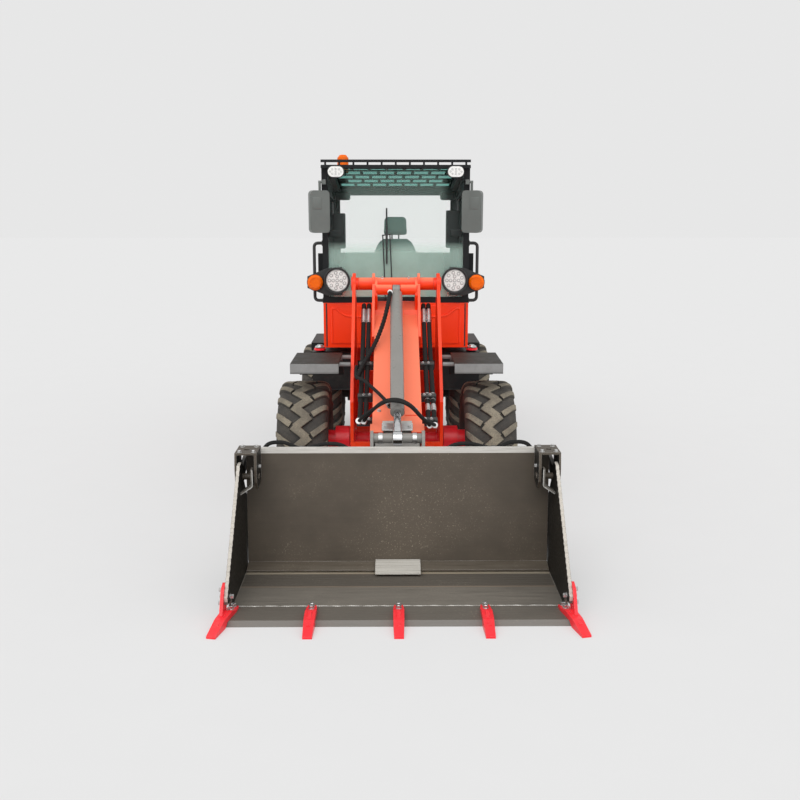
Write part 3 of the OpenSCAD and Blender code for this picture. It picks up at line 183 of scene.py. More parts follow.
camera_spot = (-0.036, -7.578, 2.26)
camera_dip = 11.6
camera_turn = -0.5
eye = bpy.data.cameras.new("photo_camera")
eye.sensor_width = 36
eye.lens = 42.75
camera = bpy.data.objects.new("photo_camera", eye)
camera.location = camera_spot
camera.rotation_euler = (math.radians(90 - camera_dip), 0, math.radians(camera_turn))
scene.collection.objects.link(camera)
scene.camera = camera

# Paintwork: welded steel under sprayed orange gloss on the tub, tower, boom and hood. Spray leaves a fine
# orange peel, dust settles low down and on flat tops, and plate edges wear pale.
bare_primer = (0.62, 0.55, 0.50)
pale_dust = (0.42, 0.36, 0.28)
plate_edge = 0.004


def worn_corners(tone):
    """The normal over softened edges, the plate's own normal, and how far the two part."""
    soft = tone.node("Bevel", {"samples": 4}, {"Radius": plate_edge})
    square = tone.node("NewGeometry", {}, {}, out="Normal")
    agree = tone.node("VectorMath", {"operation": "DOT_PRODUCT"}, {0: soft, 1: square}, out="Value")
    return soft, square, 1 - agree


def sprayed(name, colour, shade, dust, rough=0.32, coat=0.10, bare=bare_primer, top_sheen=None, shine=0.28):
    """Sprayed paint with a darker shade in clouds and bare on worn edges; a given top colour is a painted sky
    sheen on upward faces.
    """
    material, tone = finish(name)
    broad = tone.noise(2.2, 5.0, 0.6)
    fine = tone.noise(38.0, 6.0, 0.7)
    peel = tone.noise(260.0, 1.0)
    soft, square, parting = worn_corners(tone)
    edges = parting.span(0.02, 0.25) * fine.span(0.42, 0.60)
    low = tone.place.axis(2).span(1.1, 0.1) * broad.span(0.35, 0.7)
    up = square.axis(2).span(0.6, 1.0)
    settled = (low * 0.35 + up * 0.12) * fine.span(0.3, 0.7)
    body = broad.span(0.3, 0.7).mix(shade, colour)
    # Upward faces take the top colour as a painted sky sheen.
    if top_sheen:
        body = (soft.axis(2).span(0.35, 0.85) * 0.9).mix(body, top_sheen)
    worn = (edges * 0.30).mix(body, bare)
    (settled * dust).mix(worn, pale_dust).feed("Base Color")
    (fine.span(0.3, 0.7, rough - 0.06, rough + 0.10) + settled * 0.35).feed("Roughness")
    tone.hold({"Specular IOR Level": shine, "Coat Weight": coat, "Coat Roughness": 0.18})
    tone.bump(peel, 0.12, 0.0006, soft)
    return material


def dress(material, *nodes):
    for node in nodes:
        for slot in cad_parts[node].material_slots:
            slot.material = material


orange = sprayed("orange_gloss", (0.97, 0.052, 0.004), (0.90, 0.036, 0.003), 0.6)
dress(orange, "cab_base", "cab_panels", "front_frame", "rear_frame", "hood")
# The boom's upper faces get a pale salmon painted sky sheen.
boom_orange = sprayed("boom_orange", (0.97, 0.058, 0.006), (0.90, 0.040, 0.004), 0.3,
                      top_sheen=(0.98, 0.23, 0.12))
dress(boom_orange, "boom_outer")
crimson = sprayed("crimson_gloss", (0.93, 0.022, 0.036), (0.84, 0.014, 0.026), 0.25,
                  bare=(0.75, 0.55, 0.52))
dress(crimson, "front_axle", "bucket_teeth")
satin_black = sprayed("satin_black", (0.018, 0.019, 0.020), (0.011, 0.012, 0.013), 0.7, rough=0.46, coat=0.0,
                      bare=(0.09, 0.09, 0.09), shine=0.16)
dress(satin_black, "cab_posts", "cab_roof", "roof_guard", "door_left", "door_right", "rear_fenders",
      "side_tanks", "counterweight", "rear_axle", "exhaust")
cylinder_grey = sprayed("cylinder_grey", (0.250, 0.240, 0.222), (0.205, 0.197, 0.183), 0.4, rough=0.30,
                        coat=0.3, bare=(0.34, 0.33, 0.32))
dress(cylinder_grey, "tilt_barrel", "lift_barrel", "steer_barrel_left", "steer_barrel_right", "coupler",
      "boom_inner", "clam_barrels", "engine")

# Rods and fittings: hard chromed piston rods, zinc plated nuts and bolts, and slide pads of white nylon.
# Turning leaves fine rings in the steel, and a thin film of oil dulls it in patches.


def scaled(colour, share):
    return tuple(share * part for part in colour)


def plated(name, colour, rough, metallic):
    material, tone = finish(name)
    film = tone.noise(11.0, 5.0, 0.65)
    film.span(0.3, 0.7).mix(scaled(colour, 0.72), colour).feed("Base Color")
    film.span(0.3, 0.7, rough + 0.12, rough - 0.04).feed("Roughness")
    tone.hold({"Metallic": metallic})
    tone.bump(tone.noise(320.0, 2.0), 0.05, 0.0004)
    return material


chrome = plated("chromed_rod", (0.72, 0.73, 0.74), 0.16, 1.0)
dress(chrome, "steer_rod_left", "steer_rod_right", "lift_rod", "tilt_rod", "clam_rods")
zinc = plated("zinc_plate", (0.66, 0.66, 0.65), 0.28, 0.9)
nylon = plated("pad_nylon", (0.62, 0.61, 0.57), 0.45, 0.0)
dress(nylon, "boom_pads")

# Wheels: black rubber tyres with heavy angled lugs in two staggered rows on steel rims with eight nuts each.
# Each lug is a long bar from the shoulder and a block by the middle, and dry earth has dusted their faces.
# The profiles give the way from the tyre's middle and the radius there.
tread_top = (
    (0.000, 0.4600), (0.035, 0.4598), (0.070, 0.4594), (0.105, 0.4585), (0.135, 0.4560),
    (0.160, 0.4490), (0.179, 0.4340), (0.189, 0.4120), (0.193, 0.3880),
)
tread_floor = (
    (0.000, 0.4350), (0.035, 0.4348), (0.070, 0.4343), (0.104, 0.4330), (0.132, 0.4300),
    (0.154, 0.4220), (0.171, 0.4080), (0.180, 0.3920), (0.184, 0.3770),
)
side_wall = (
    (0.1875, 0.362), (0.1905, 0.358), (0.1915, 0.345), (0.1895, 0.341), (0.1935, 0.325), (0.1925, 0.308),
    (0.1940, 0.304), (0.1905, 0.286), (0.1830, 0.264), (0.1700, 0.245), (0.1560, 0.236), (0.1500, 0.2290),
)
tyre_steps = 96
mean_radius = 0.455
lugs_a_side = 18
lug_section = ((-1.15, 0), (-1.0, 0.82), (-0.86, 1), (0.86, 1), (1.0, 0.82), (1.15, 0))
lug_sweep = 0.160
lug_slope = 1.5
lug_taper = 0.25
lug_root = 0.006
middle_lean = 2.6
lean_end = 0.7
block_reach, block_half, block_steps = (-0.13, 0.225), 0.040, 4
bar_reach, bar_half, bar_steps = (0.285, 1.0), 0.0285, 12


def rubbery(name, colour, dust, share):
    """Rubber under dry dust, which covers up to that share of it."""
    material, tone = finish(name)
    broad = tone.noise(9.0, 6.0, 0.65)
    fine = tone.noise(130.0, 4.0, 0.7)
    caked = broad.span(0.30, 0.62) * fine.span(0.25, 0.7)
    (caked * share).mix(colour, dust).feed("Base Color")
    fine.span(0.3, 0.7, 0.72, 0.95).feed("Roughness")
    tone.hold({"Specular IOR Level": 0.25})
    tone.bump(fine, 0.3, 0.0015)
    return material


valley_rubber = rubbery("valley_rubber", (0.042, 0.040, 0.038), (0.13, 0.115, 0.095), 0.75)
lug_rubber = rubbery("lug_rubber", (0.13, 0.115, 0.092), (0.36, 0.315, 0.235), 0.95)


def along(profile, share):
    at = min(abs(share), 1.0) * (len(profile) - 1)
    first = min(int(at), len(profile) - 2)
    return Vector(profile[first]).lerp(Vector(profile[first + 1]), at - first)


def piece(name, points, faces, materials, body, smooth=True, kinds=None):
    mesh = bpy.data.meshes.new(name)
    mesh.from_pydata([tuple(p) for p in points], [], faces)
    for material in materials:
        mesh.materials.append(material)
    if kinds:
        mesh.polygons.foreach_set("material_index", kinds)
    mesh.polygons.foreach_set("use_smooth", [smooth] * len(mesh.polygons))
    shaped = bmesh.new()
    shaped.from_mesh(mesh)
    bmesh.ops.recalc_face_normals(shaped, faces=shaped.faces)
    shaped.to_mesh(mesh)
    shaped.free()
    made = bpy.data.objects.new(name, mesh)
    scene.collection.objects.link(made)
    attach(made, body)
    return made


def rings(points, faces, count, size):
    """Faces that join the last count rings of size points each and close the first and the last ring."""
    start = len(points) - count * size
    for ring in range(count - 1):
        a = start + ring * size
        b = a + size
        for k in range(size):
            faces.append((a + k, a + (k + 1) % size, b + (k + 1) % size, b + k))
    faces.append(tuple(range(start, start + size)))
    faces.append(tuple(range(len(points) - size, len(points))))


def lug(points, faces, kinds, mirror, middle, reach, half, steps):
    """One bar or block of the tread; its reach is in shares of the way from the middle to the shoulder."""
    first, last = reach
    size = len(lug_section)
    for step in range(steps + 1):
        share = first + (last - first) * step / steps
        outward = max(share, 0)
        for out, level in lug_section:
            aside = out * half * (1 - lug_taper * outward ** 3)
            slant = min(share - middle_lean * aside * max(0.0, 1 - outward / lean_end), 1.0)
            low = along(tread_floor, slant)
            high = along(tread_top, slant)
            across = low.lerp(high, level) if level else low - Vector((0.0, lug_root))
            side = mirror if slant > 0 else -mirror
            sweep = lug_sweep * (1 - (1 - slant) ** lug_slope if slant > 0 else lug_slope * slant)
            turn = middle + (sweep + aside) / mean_radius
            points.append(Vector((side * across.x, -across.y * math.cos(turn), across.y * math.sin(turn))))
    made = len(faces)
    rings(points, faces, steps + 1, size)
    kinds.extend(1 if k % size in (1, 2, 3) and k < steps * size else 0 for k in range(len(faces) - made))


def centre_of(node):
    low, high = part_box(node)
    return (low + high) / 2


def tyre(name, body):
    centre = centre_of(name)
    points, faces, kinds = [], [], []
    half = tread_floor + side_wall
    outline = [(-x, r) for x, r in reversed(half)] + list(half[1:])
    for k in range(tyre_steps):
        turn = 2 * math.pi * k / tyre_steps
        points.extend(Vector((x, -r * math.cos(turn), r * math.sin(turn))) for x, r in outline)
    size = len(outline)
    for k in range(tyre_steps):
        for n in range(size - 1):
            after = (k + 1) % tyre_steps * size
            faces.append((k * size + n, k * size + n + 1, after + n + 1, after + n))
    kinds.extend([0] * len(faces))
    pitch = 2 * math.pi / lugs_a_side
    for k in range(lugs_a_side):
        for mirror, late in ((-1, 0.0), (1, 0.5)):
            middle = (k + late) * pitch
            lug(points, faces, kinds, mirror, middle, block_reach, block_half, block_steps)
            lug(points, faces, kinds, mirror, middle, bar_reach, bar_half, bar_steps)
    rubbers = [valley_rubber, lug_rubber]
    made = piece(name + "_tread", [centre + p for p in points], faces, rubbers, body, True, kinds)
    made.data.set_sharp_from_angle(angle=math.radians(32))
    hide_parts(name)


rim_paint = sprayed("rim_paint", (0.40, 0.39, 0.36), (0.33, 0.32, 0.29), 1.2, rough=0.40, coat=0.1)
wheels = [(end, side, out) for end in ("front", "rear") for side, out in (("left", -1), ("right", 1))]
for end, side, _ in wheels:
    tyre(f"tyre_{end}_{side}", f"wheel_{end}_{side}")
    dress(rim_paint, f"rim_{end}_{side}")


def bolts(name, places, across, material, body, tall=0.6):
    """Hexagon heads on washers; each place is a point on the plate and the plate's outward direction."""
    points, faces = [], []
    washer = (16, across * 0.66, -0.001, across * 0.10)
    head = (6, across * 0.5, across * 0.08, across * tall)
    for spot, outward in places:
        turn = Vector(outward).to_track_quat("Z", "X").to_matrix()
        for sides, radius, floor, roof in (washer, head):
            soft = 0.12 * (roof - floor)
            for grow, level in ((1.0, floor), (1.0, roof - soft), (0.86, roof)):
                for k in range(sides):
                    a = 2 * math.pi * k / sides
                    flat = Vector((radius * grow * math.cos(a), radius * grow * math.sin(a), level))
                    points.append(Vector(spot) + turn @ flat)
            rings(points, faces, 3, sides)
    return piece(name, points, faces, [material], body, smooth=False)


def hub_circle(x, centre, radius, count, start=0.0):
    turns = [2 * math.pi * k / count + start for k in range(count)]
    return [Vector((x, centre.y + radius * math.cos(a), centre.z + radius * math.sin(a))) for a in turns]


nut_circle, nut_across, nuts_a_wheel = 0.1375, 0.032, 8
dish_depth = 0.054
for end, side, out in wheels:
    centre = centre_of(f"rim_{end}_{side}")
    ring = hub_circle(centre.x + out * dish_depth, centre, nut_circle, nuts_a_wheel)
    spots = [(spot, (out, 0, 0)) for spot in ring]
    bolts(f"wheel_nuts_{end}_{side}", spots, nut_across, zinc, f"wheel_{end}_{side}", tall=0.9)

# Bucket: welded steel plate under thin black paint that earth has scraped to a brown grey. The back hangs on
# the coupler, and the clam with floor, sides and cutting edge swings on two pins in the end brackets.
mark_blur = 0.0015
dry_specks = (0.34, 0.29, 0.22)
edge_steel = (0.46, 0.44, 0.41)


def scraped(name, plate, side, dusty, low, high, marks):
    """Scraped plate, with side as a painted shade on faces turned sideways; marks are boxes of bare surface,
    caked surface and painted highlight, each with its colour and its share.
    """
    material, tone = finish(name)
    place = [tone.place.axis(k) for k in range(3)]
    stretched = tone.node("Mapping", {}, {"Vector": tone.place, "Scale": (0.5, 9.0, 9.0)})
    drawn = tone.node("TexNoise", {}, {"Vector": stretched, "Scale": 7.0, "Detail": 8.0, "Roughness": 0.68})
    broad = tone.noise(1.7, 6.0, 0.62)
    specks = tone.noise(95.0, 3.0, 0.8)
    grain = tone.noise(420.0, 2.0)
    soft, square, parting = worn_corners(tone)
    facing = square.axis(0)
    shaded_sideways = (facing * facing).span(0.3, 0.7)
    edges = parting.span(0.02, 0.2) * drawn.span(0.35, 0.6)
    rubbed = broad.span(0.34, 0.66) * 0.7 + drawn.span(0.25, 0.75) * 0.3
    worn = rubbed.mix(scaled(plate, 0.72), scaled(plate, 1.24))
    # Faces turned sideways take the near-black side colour, a painted shade.
    body = shaded_sideways.mix(worn, side)
    dust = place[2].span(low, high) * square.axis(2).span(0.2, 0.8) * drawn.span(0.3, 0.62)
    earth = (dust * 0.75).mix(body, dusty)
    for box, colour, share in marks:
        inside = (1 - shaded_sideways) * share
        for spot, (start, end) in zip(place, box):
            edge_in = spot.span(start - mark_blur, start + mark_blur)
            edge_out = spot.span(end + mark_blur, end - mark_blur)
            inside = edge_in * edge_out * inside
        earth = (inside * drawn.span(0.20, 0.55, 0.55, 1.0)).mix(earth, colour)
    pale = (specks.span(0.60, 0.68) * broad.span(0.45, 0.6) * 0.7).mix(earth, dry_specks)
    (edges * 0.75).mix(pale, edge_steel).feed("Base Color")
    (drawn.span(0.3, 0.7, 0.40, 0.62) + dust * 0.2).feed("Roughness")
    tone.bump(drawn + grain * 0.3, 0.25, 0.0012, soft)
    tone.hold({"Specular IOR Level": 0.35})
    return material


seam = -1.93735
# The pale box on the top bar's front face is a painted highlight.
top_bar_highlight = ((-0.86, 0.86), (-1.90, -1.80), (0.753, 0.790))
wear_plate = ((-0.142, 0.142), (seam - 0.150, seam + 0.0145), (0.0345, 0.080))
back_marks = ((top_bar_highlight, (0.60, 0.58, 0.54), 0.95), (wear_plate, (0.56, 0.54, 0.49), 0.95))
# The near-black side colour of the back is a painted shade.
back_steel = scraped("bucket_back_steel", (0.086, 0.069, 0.051), (0.011, 0.010, 0.008), (0.16, 0.14, 0.11),
                     0.1, 0.0, back_marks)
dress(back_steel, "bucket_back")
floor_x, floor_z = (-0.94, 0.94), (0.010, 0.060)
edge_x, edge_z = (-0.97, 0.97), (-0.010, 0.060)
saw_y, saw_z = (-2.75, -1.98), (0.110, 0.740)
saw_bright = (0.62, 0.58, 0.52)
seam_sand = (floor_x, (seam - 0.090, seam - 0.040), floor_z)
dark_band = (floor_x, (seam - 0.280, seam - 0.090), floor_z)
crease_line = (floor_x, (seam - 0.296, seam - 0.280), floor_z)
cutting_edge = (edge_x, (-2.75, -2.518), edge_z)
ground_lip = (edge_x, (-2.75, -2.706), edge_z)
clam_marks = (
    (seam_sand, (0.34, 0.29, 0.21), 0.9),
    (dark_band, (0.078, 0.067, 0.054), 0.8),
    (crease_line, (0.22, 0.16, 0.11), 0.6),
    (cutting_edge, (0.100, 0.088, 0.073), 0.7),
    (ground_lip, (0.190, 0.180, 0.165), 0.8),
    (((0.9455, 0.9645), saw_y, saw_z), saw_bright, 0.9),
    (((-0.9645, -0.9455), saw_y, saw_z), saw_bright, 0.9),
)
# The near-black side colour of the clam is a painted shade.
clam_steel = scraped("bucket_clam_steel", (0.132, 0.119, 0.101), (0.010, 0.009, 0.007), (0.20, 0.18, 0.15),
                     0.3, 0.0, clam_marks)
dress(clam_steel, "bucket_clam")

# Glass: panes of pale green safety glass bonded into the posts and doors. A pale painted sky reflection
# covers the lower part of the windscreen and leaves its top clear, and the roof's pane is tinted right
# through.
roof_tint = (0.340, 0.580, 0.540, 1)
# Heights where the windscreen's painted sky reflection fades out towards the top.
reflection_top, reflection_full = 1.95, 1.86
clear_film = 0.012


def pane_glass(name, tint, reflecting):
    material, tone = finish(name)
    smear = tone.noise(3.0, 5.0, 0.6)
    film = tone.noise(60.0, 3.0)
    smear.span(0.3, 0.7).mix(scaled(tint, 0.92), tint).feed("Base Color")
    film.span(0.3, 0.7, 0.04, 0.10).feed("Roughness")
    if not reflecting:
        smear.span(0.25, 0.75, 0.12, 0.20).feed("Alpha")
        return material
    across, depth, height = [tone.place.axis(k) for k in range(3)]
    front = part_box("cab_glass")[0].y
    middle = (across * across).span(0.200, 0.150)
    screen = depth.span(front + 0.05, front + 0.04)
    lower = height.span(reflection_top, reflection_full)
    # The pale tinted layer on the windscreen's lower part and middle is a painted sky reflection.
    reflection_share = lower * smear.span(0.25, 0.75, 0.27, 0.37) + middle * 0.06
    (screen * reflection_share + clear_film).feed("Alpha")
    facing = tone.node("NewGeometry", {}, {}, out="Normal").axis(2)
    top_pane = (facing * facing).span(0.3, 0.6) * smear.span(0.2, 0.8, 0.97, 0.90)
    see_through = tone.node("BsdfTransparent", {}, {"Color": roof_tint})
    both = tone.node("MixShader", {}, {0: top_pane, 1: own_shader(tone), 2: see_through})
    both.feed(tone.tree.nodes["Material Output"].inputs["Surface"])
    return material


cab_pane = pane_glass("cab_pane_glass", (0.58, 0.80, 0.70), True)
dress(cab_pane, "cab_glass")
door_pane = pane_glass("door_pane_glass", (0.55, 0.72, 0.66), False)
dress(door_pane, "door_left_glass", "door_right_glass")

# Boom hoses: two rubber hydraulic lines on each side of the outer boom, crimped into plated ends and held by
# clamps of black plastic bolted to the box. The box falls forward from its pivot tube.
boom_pin = Vector((0.0, 0.08735, 1.640))
boom_dip = math.radians(25.3)


def on_boom(x, ahead, up):
    """A point by its side, its way forward along the boom and its height above the line of the upper pins."""
    back = ahead * math.cos(boom_dip) + up * math.sin(boom_dip)
    drop = ahead * math.sin(boom_dip) - up * math.cos(boom_dip)
    return boom_pin + Vector((x, -back, -drop))


def bent(corners, radius, steps=6):
    """A line through the corners whose inner corners are rounded."""
    spots = [Vector(c) for c in corners]
    line = [spots[0]]
    for before, corner, after in zip(spots, spots[1:], spots[2:]):
        reach = min(radius, 0.48 * (before - corner).length, 0.48 * (after - corner).length)
        start = corner + (before - corner).normalized() * reach
        end = corner + (after - corner).normalized() * reach
        for k in range(steps + 1):
            share = k / steps
            line.append(start.lerp(corner, share).lerp(corner.lerp(end, share), share))
    return line + [spots[-1]]


def flowing(knots, steps=8):
    """A smooth line through all the knots."""
    spots = [Vector(k) for k in knots]
    line = []
    for k in range(len(spots) - 1):
        a = spots[max(k - 1, 0)]
        b = spots[k]
        c = spots[k + 1]
        d = spots[min(k + 2, len(spots) - 1)]
        for n in range(steps):
            s = n / steps
            square = (2 * a - 5 * b + 4 * c - d) * s * s
            cube = (3 * b - a - 3 * c + d) * s ** 3
            line.append(0.5 * (2 * b + (c - a) * s + square + cube))
    return line + [spots[-1]]


def swept(points, faces, line, radius, sides=12):
    """A round bar along the line; radius is one number or one for each point."""
    aside = (line[1] - line[0]).orthogonal().normalized()
    for k, spot in enumerate(line):
        ahead = (line[min(k + 1, len(line) - 1)] - line[max(k - 1, 0)]).normalized()
        aside = (aside - ahead * aside.dot(ahead)).normalized()
        third = ahead.cross(aside)
        grown = radius if isinstance(radius, float) else radius[k]
        for n in range(sides):
            a = 2 * math.pi * n / sides
            points.append(spot + grown * (aside * math.cos(a) + third * math.sin(a)))
    rings(points, faces, len(line), sides)


def tubes(name, lines, radius, material, body, sides=12):
    points, faces = [], []
    for line in lines:
        swept(points, faces, line, radius, sides)
    made = piece(name, points, faces, [material], body)
    made.data.set_sharp_from_angle(angle=math.radians(50))
    return made


def turned(points, faces, base, outward, profile, sides):
    """A turned form; the profile gives the way along its axis and the radius there."""
    turn = Vector(outward).to_track_quat("Z", "X").to_matrix()
    for level, radius in profile:
        for k in range(sides):
            a = 2 * math.pi * k / sides
            points.append(Vector(base) + turn @ Vector((radius * math.cos(a), radius * math.sin(a), level)))
    rings(points, faces, len(profile), sides)


def turnings(name, places, profile, material, body, sides):
    points, faces = [], []
    for spot, outward in places:
        turned(points, faces, spot, outward, profile, sides)
    made = piece(name, points, faces, [material], body)
    made.data.set_sharp_from_angle(angle=math.radians(35))
    return made


def moulded(name, colour, rough):
    """Grained plastic, with a little dust on what faces up."""
    material, tone = finish(name)
    broad = tone.noise(5.0, 5.0, 0.6)
    grain = tone.node("TexVoronoi", {}, {"Vector": tone.place, "Scale": 420.0})
    soft = tone.node("Bevel", {"samples": 4}, {"Radius": plate_edge})
    clouds = broad.span(0.3, 0.7)
    pale = clouds.mix(scaled(colour, 0.8), colour)
    (soft.axis(2).span(0.3, 1.0) * clouds * 0.12).mix(pale, (0.30, 0.28, 0.25)).feed("Base Color")
    broad.span(0.3, 0.7, rough - 0.07, rough + 0.07).feed("Roughness")
    tone.bump(grain, 0.10, 0.0004, soft)
    return material


black_plastic = moulded("black_plastic", (0.020, 0.021, 0.021), 0.45)
hose_rubber = rubbery("hose_rubber", (0.011, 0.011, 0.011), (0.034, 0.032, 0.029), 0.4)
side_hose_x, side_hose_gap, side_hose_r = 0.218, 0.040, 0.0182
side_route = (
    (0.060, -0.215), (0.110, -0.135), (0.200, -0.140), (0.420, -0.200), (0.800, -0.245), (1.200, -0.250),
    (1.500, -0.235),
)
side_hoses = []
for side in (-1, 1):
    for k in (0, 1):
        x = side * (side_hose_x + side_hose_gap * k)
        side_hoses.append(flowing([on_boom(x, ahead, rise) for ahead, rise in side_route]))
side_lines = tubes("boom_hose_lines", side_hoses, side_hose_r, hose_rubber, "boom")
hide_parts("boom_hoses")
crimp = (
    (0.0, 0.0175), (0.002, 0.0198), (0.034, 0.0198), (0.036, 0.0170), (0.038, 0.0205), (0.058, 0.0205),
    (0.060, 0.0168), (0.062, 0.0190), (0.076, 0.0190), (0.078, 0.0165),
)
short_crimp = crimp[:6]


def fitting(line, k, ahead=1):
    """Where a fitting sits on a hose and the way it points."""
    return line[k], line[k + ahead] - line[k]


crimp_spots = [fitting(line, k) for line in side_hoses for k in (15, 18)]
crimp_spots += [fitting(line, k) for line in side_hoses[2:] for k in (39, 42)]
turnings("boom_hose_ends", crimp_spots, crimp, zinc, "boom", 14)


def rounded(points, faces, corner, opposite, radius, place=None):
    """A box between two corners with rounded edges; place puts its points where they belong."""
    low = Vector([min(pair) for pair in zip(corner, opposite)])
    high = Vector([max(pair) for pair in zip(corner, opposite)])
    shaped = bmesh.new()
    bmesh.ops.create_cube(shaped, size=1.0)
    for vert in shaped.verts:
        vert.co = Vector([low[k] + (vert.co[k] + 0.5) * (high[k] - low[k]) for k in range(3)])
    bmesh.ops.bevel(shaped, geom=shaped.edges[:], offset=radius, segments=3, profile=0.5, affect="EDGES")
    start = len(points)
    shaped.verts.index_update()
    for vert in shaped.verts:
        points.append(place(*vert.co) if place else vert.co.copy())
    faces.extend(tuple(start + v.index for v in face.verts) for face in shaped.faces)
    shaped.free()


clamp_in, clamp_out, clamp_half = 0.170, 0.281, 0.020
clamp_foot, clamp_top = -0.274, -0.218
box_up = on_boom(0, 0, 1) - on_boom(0, 0, 0)
points, faces = [], []
clamp_bolts = []
for ahead in (0.800, 1.200, 1.480):
    for side in (-1, 1):
        rounded(points, faces, (side * clamp_in, ahead - clamp_half, clamp_foot),
                (side * clamp_out, ahead + clamp_half, clamp_top), 0.006, on_boom)
        for x in (0.196, 0.238):
            clamp_bolts.append((on_boom(side * x, ahead, clamp_top - 0.001), box_up))
piece("boom_hose_clamps", points, faces, [black_plastic], "boom")
bolts("boom_clamp_bolts", clamp_bolts, 0.016, zinc, "boom")

# Front fenders and small mouldings: black plastic arches on tubes from the tower, whose rolled front lip is
# worn grey, and the plain covers of lamps, mirrors and levers.
fender_plastic, tone = finish("fender_plastic")
fender_grain = tone.noise(14.0, 7.0, 0.7)
fender_pebble = tone.node("TexVoronoi", {}, {"Vector": tone.place, "Scale": 300.0})
fender_soft = tone.node("Bevel", {"samples": 4}, {"Radius": 0.006})
fender_lip = fender_soft.axis(1).span(-0.35, -0.75) * tone.place.axis(2).span(1.020, 1.050)
fender_top = fender_soft.axis(2).span(0.5, 0.9) * fender_grain.span(0.3, 0.7) * 0.5
fender_base = fender_top.mix((0.008, 0.008, 0.007), (0.060, 0.055, 0.040))
lip_worn = fender_lip * fender_grain.span(0.2, 0.6, 0.75, 1.0)
lip_worn.mix(fender_base, (0.27, 0.27, 0.265)).feed("Base Color")
fender_grain.span(0.3, 0.7, 0.42, 0.60).feed("Roughness")
tone.hold({"Specular IOR Level": 0.18})
tone.bump(fender_pebble, 0.15, 0.0005, fender_soft)
dress(fender_plastic, "front_fenders")
dress(black_plastic, "lamp_housings", "controls")
mirror_plastic = moulded("mirror_plastic", (0.135, 0.148, 0.138), 0.38)
dress(mirror_plastic, "mirrors")

# Lamps: round headlamps with rings of light diodes behind clear lenses, oval work lamps on the roof's rail,
# amber indicators and beacon, and red tail lamps, each in a black housing on the cab or the counterweight.
cab_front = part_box("cab_posts")[0].y
cab_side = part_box("cab_roof")[1].x


def lens(name, colour, deep, cells):
    """Moulded lens with facets; deep is the colour in the grooves between them."""
    material, tone = finish(name)
    facets = tone.node("TexVoronoi", {"feature": "DISTANCE_TO_EDGE"}, {"Vector": tone.place, "Scale": cells})
    facets.span(0.0, 0.16).mix(deep, colour).feed("Base Color")
    tone.noise(40.0, 4.0).span(0.3, 0.7, 0.10, 0.24).feed("Roughness")
    tone.hold({"Coat Weight": 0.10, "Coat Roughness": 0.06, "Specular IOR Level": 0.15})
    tone.bump(facets, 0.25, 0.001)
    return material


clear_lens = lens("clear_lens", (0.86, 0.86, 0.83), (0.72, 0.73, 0.71), 70.0)
amber_lens = lens("amber_lens", (0.90, 0.160, 0.002), (0.72, 0.095, 0.001), 60.0)
red_lens = lens("red_lens", (0.45, 0.010, 0.008), (0.30, 0.005, 0.004), 90.0)
dress(clear_lens, "lamp_lenses")
dress(amber_lens, "indicators")
dress(red_lens, "tail_lamps")

forward = Vector((0, -1, 0))
head_x, head_y, head_z = 0.500, cab_front - 0.1055, 1.630
diode_rings = ((0.0, 1, 0.0), (0.034, 4, 0.0), (0.066, 9, 0.5))
diodes, headlamps = [], []
for side in (-1, 1):
    centre = Vector((side * head_x, head_y, head_z))
    headlamps.append((centre, forward))
    for radius, count, late in diode_rings:
        for k in range(count):
            a = 2 * math.pi * (k + late) / count
            diodes.append((centre + Vector((radius * math.cos(a), 0, radius * math.sin(a))), forward))
lamp_grey = plated("lamp_grey", (0.40, 0.40, 0.40), 0.40, 0.0)
cup = ((-0.001, 0.0150), (0.0030, 0.0145), (0.0030, 0.0120), (0.0008, 0.0100), (-0.001, 0.0098))
turnings("headlamp_cups", diodes, cup, lamp_grey, "rear", 14)
diode_bead = ((-0.001, 0.0085), (0.0020, 0.0080), (0.0042, 0.0055), (0.0050, 0.0020))
turnings("headlamp_beads", diodes, diode_bead, clear_lens, "rear", 12)
lamp_rim = (
    (-0.001, 0.0935), (0.0045, 0.0935), (0.0060, 0.0915), (0.0060, 0.0880), (0.0030, 0.0860),
    (-0.001, 0.0855),
)
turnings("headlamp_rims", headlamps, lamp_rim, zinc, "rear", 40)
lamp_hood = (
    (-0.020, 0.1085), (0.010, 0.1125), (0.018, 0.1115), (0.019, 0.1050), (0.008, 0.0960), (-0.004, 0.0950),
)
turnings("headlamp_hoods", headlamps, lamp_hood, black_plastic, "rear", 40)

work_x, work_y, work_z = 0.500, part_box("lamp_lenses")[0].y, 2.532
work_columns = ((-0.046, (0,)), (-0.028, (0.018, -0.018)), (0, (0.020, 0, -0.020)), (0.028, (0.018, -0.018)),
                (0.046, (0,)))
work_diodes = []
for side in (-1, 1):
    for across, rises in work_columns:
        for rise in rises:
            work_diodes.append((Vector((side * work_x + across, work_y, work_z + rise)), forward))
small_cup = [(level, 0.52 * radius) for level, radius in cup]
turnings("work_lamp_cups", work_diodes, small_cup, lamp_grey, "rear", 10)
indicator_x, indicator_y, indicator_z = 0.690, cab_front - 0.0325, 1.610
indicators = [(Vector((side * indicator_x, indicator_y, indicator_z)), forward) for side in (-1, 1)]
bezel = ((-0.001, 0.0735), (0.012, 0.0735), (0.016, 0.0710), (0.016, 0.0668), (-0.001, 0.0665))
turnings("indicator_bezels", indicators, bezel, black_plastic, "rear", 32)
ridge = ((-0.001, 0.0440), (0.0025, 0.0440), (0.0025, 0.0410), (-0.001, 0.0405))
ridge_spots = [(spot + forward * 0.054, forward) for spot, _ in indicators]
turnings("indicator_ridges", ridge_spots, ridge, amber_lens, "rear", 28)

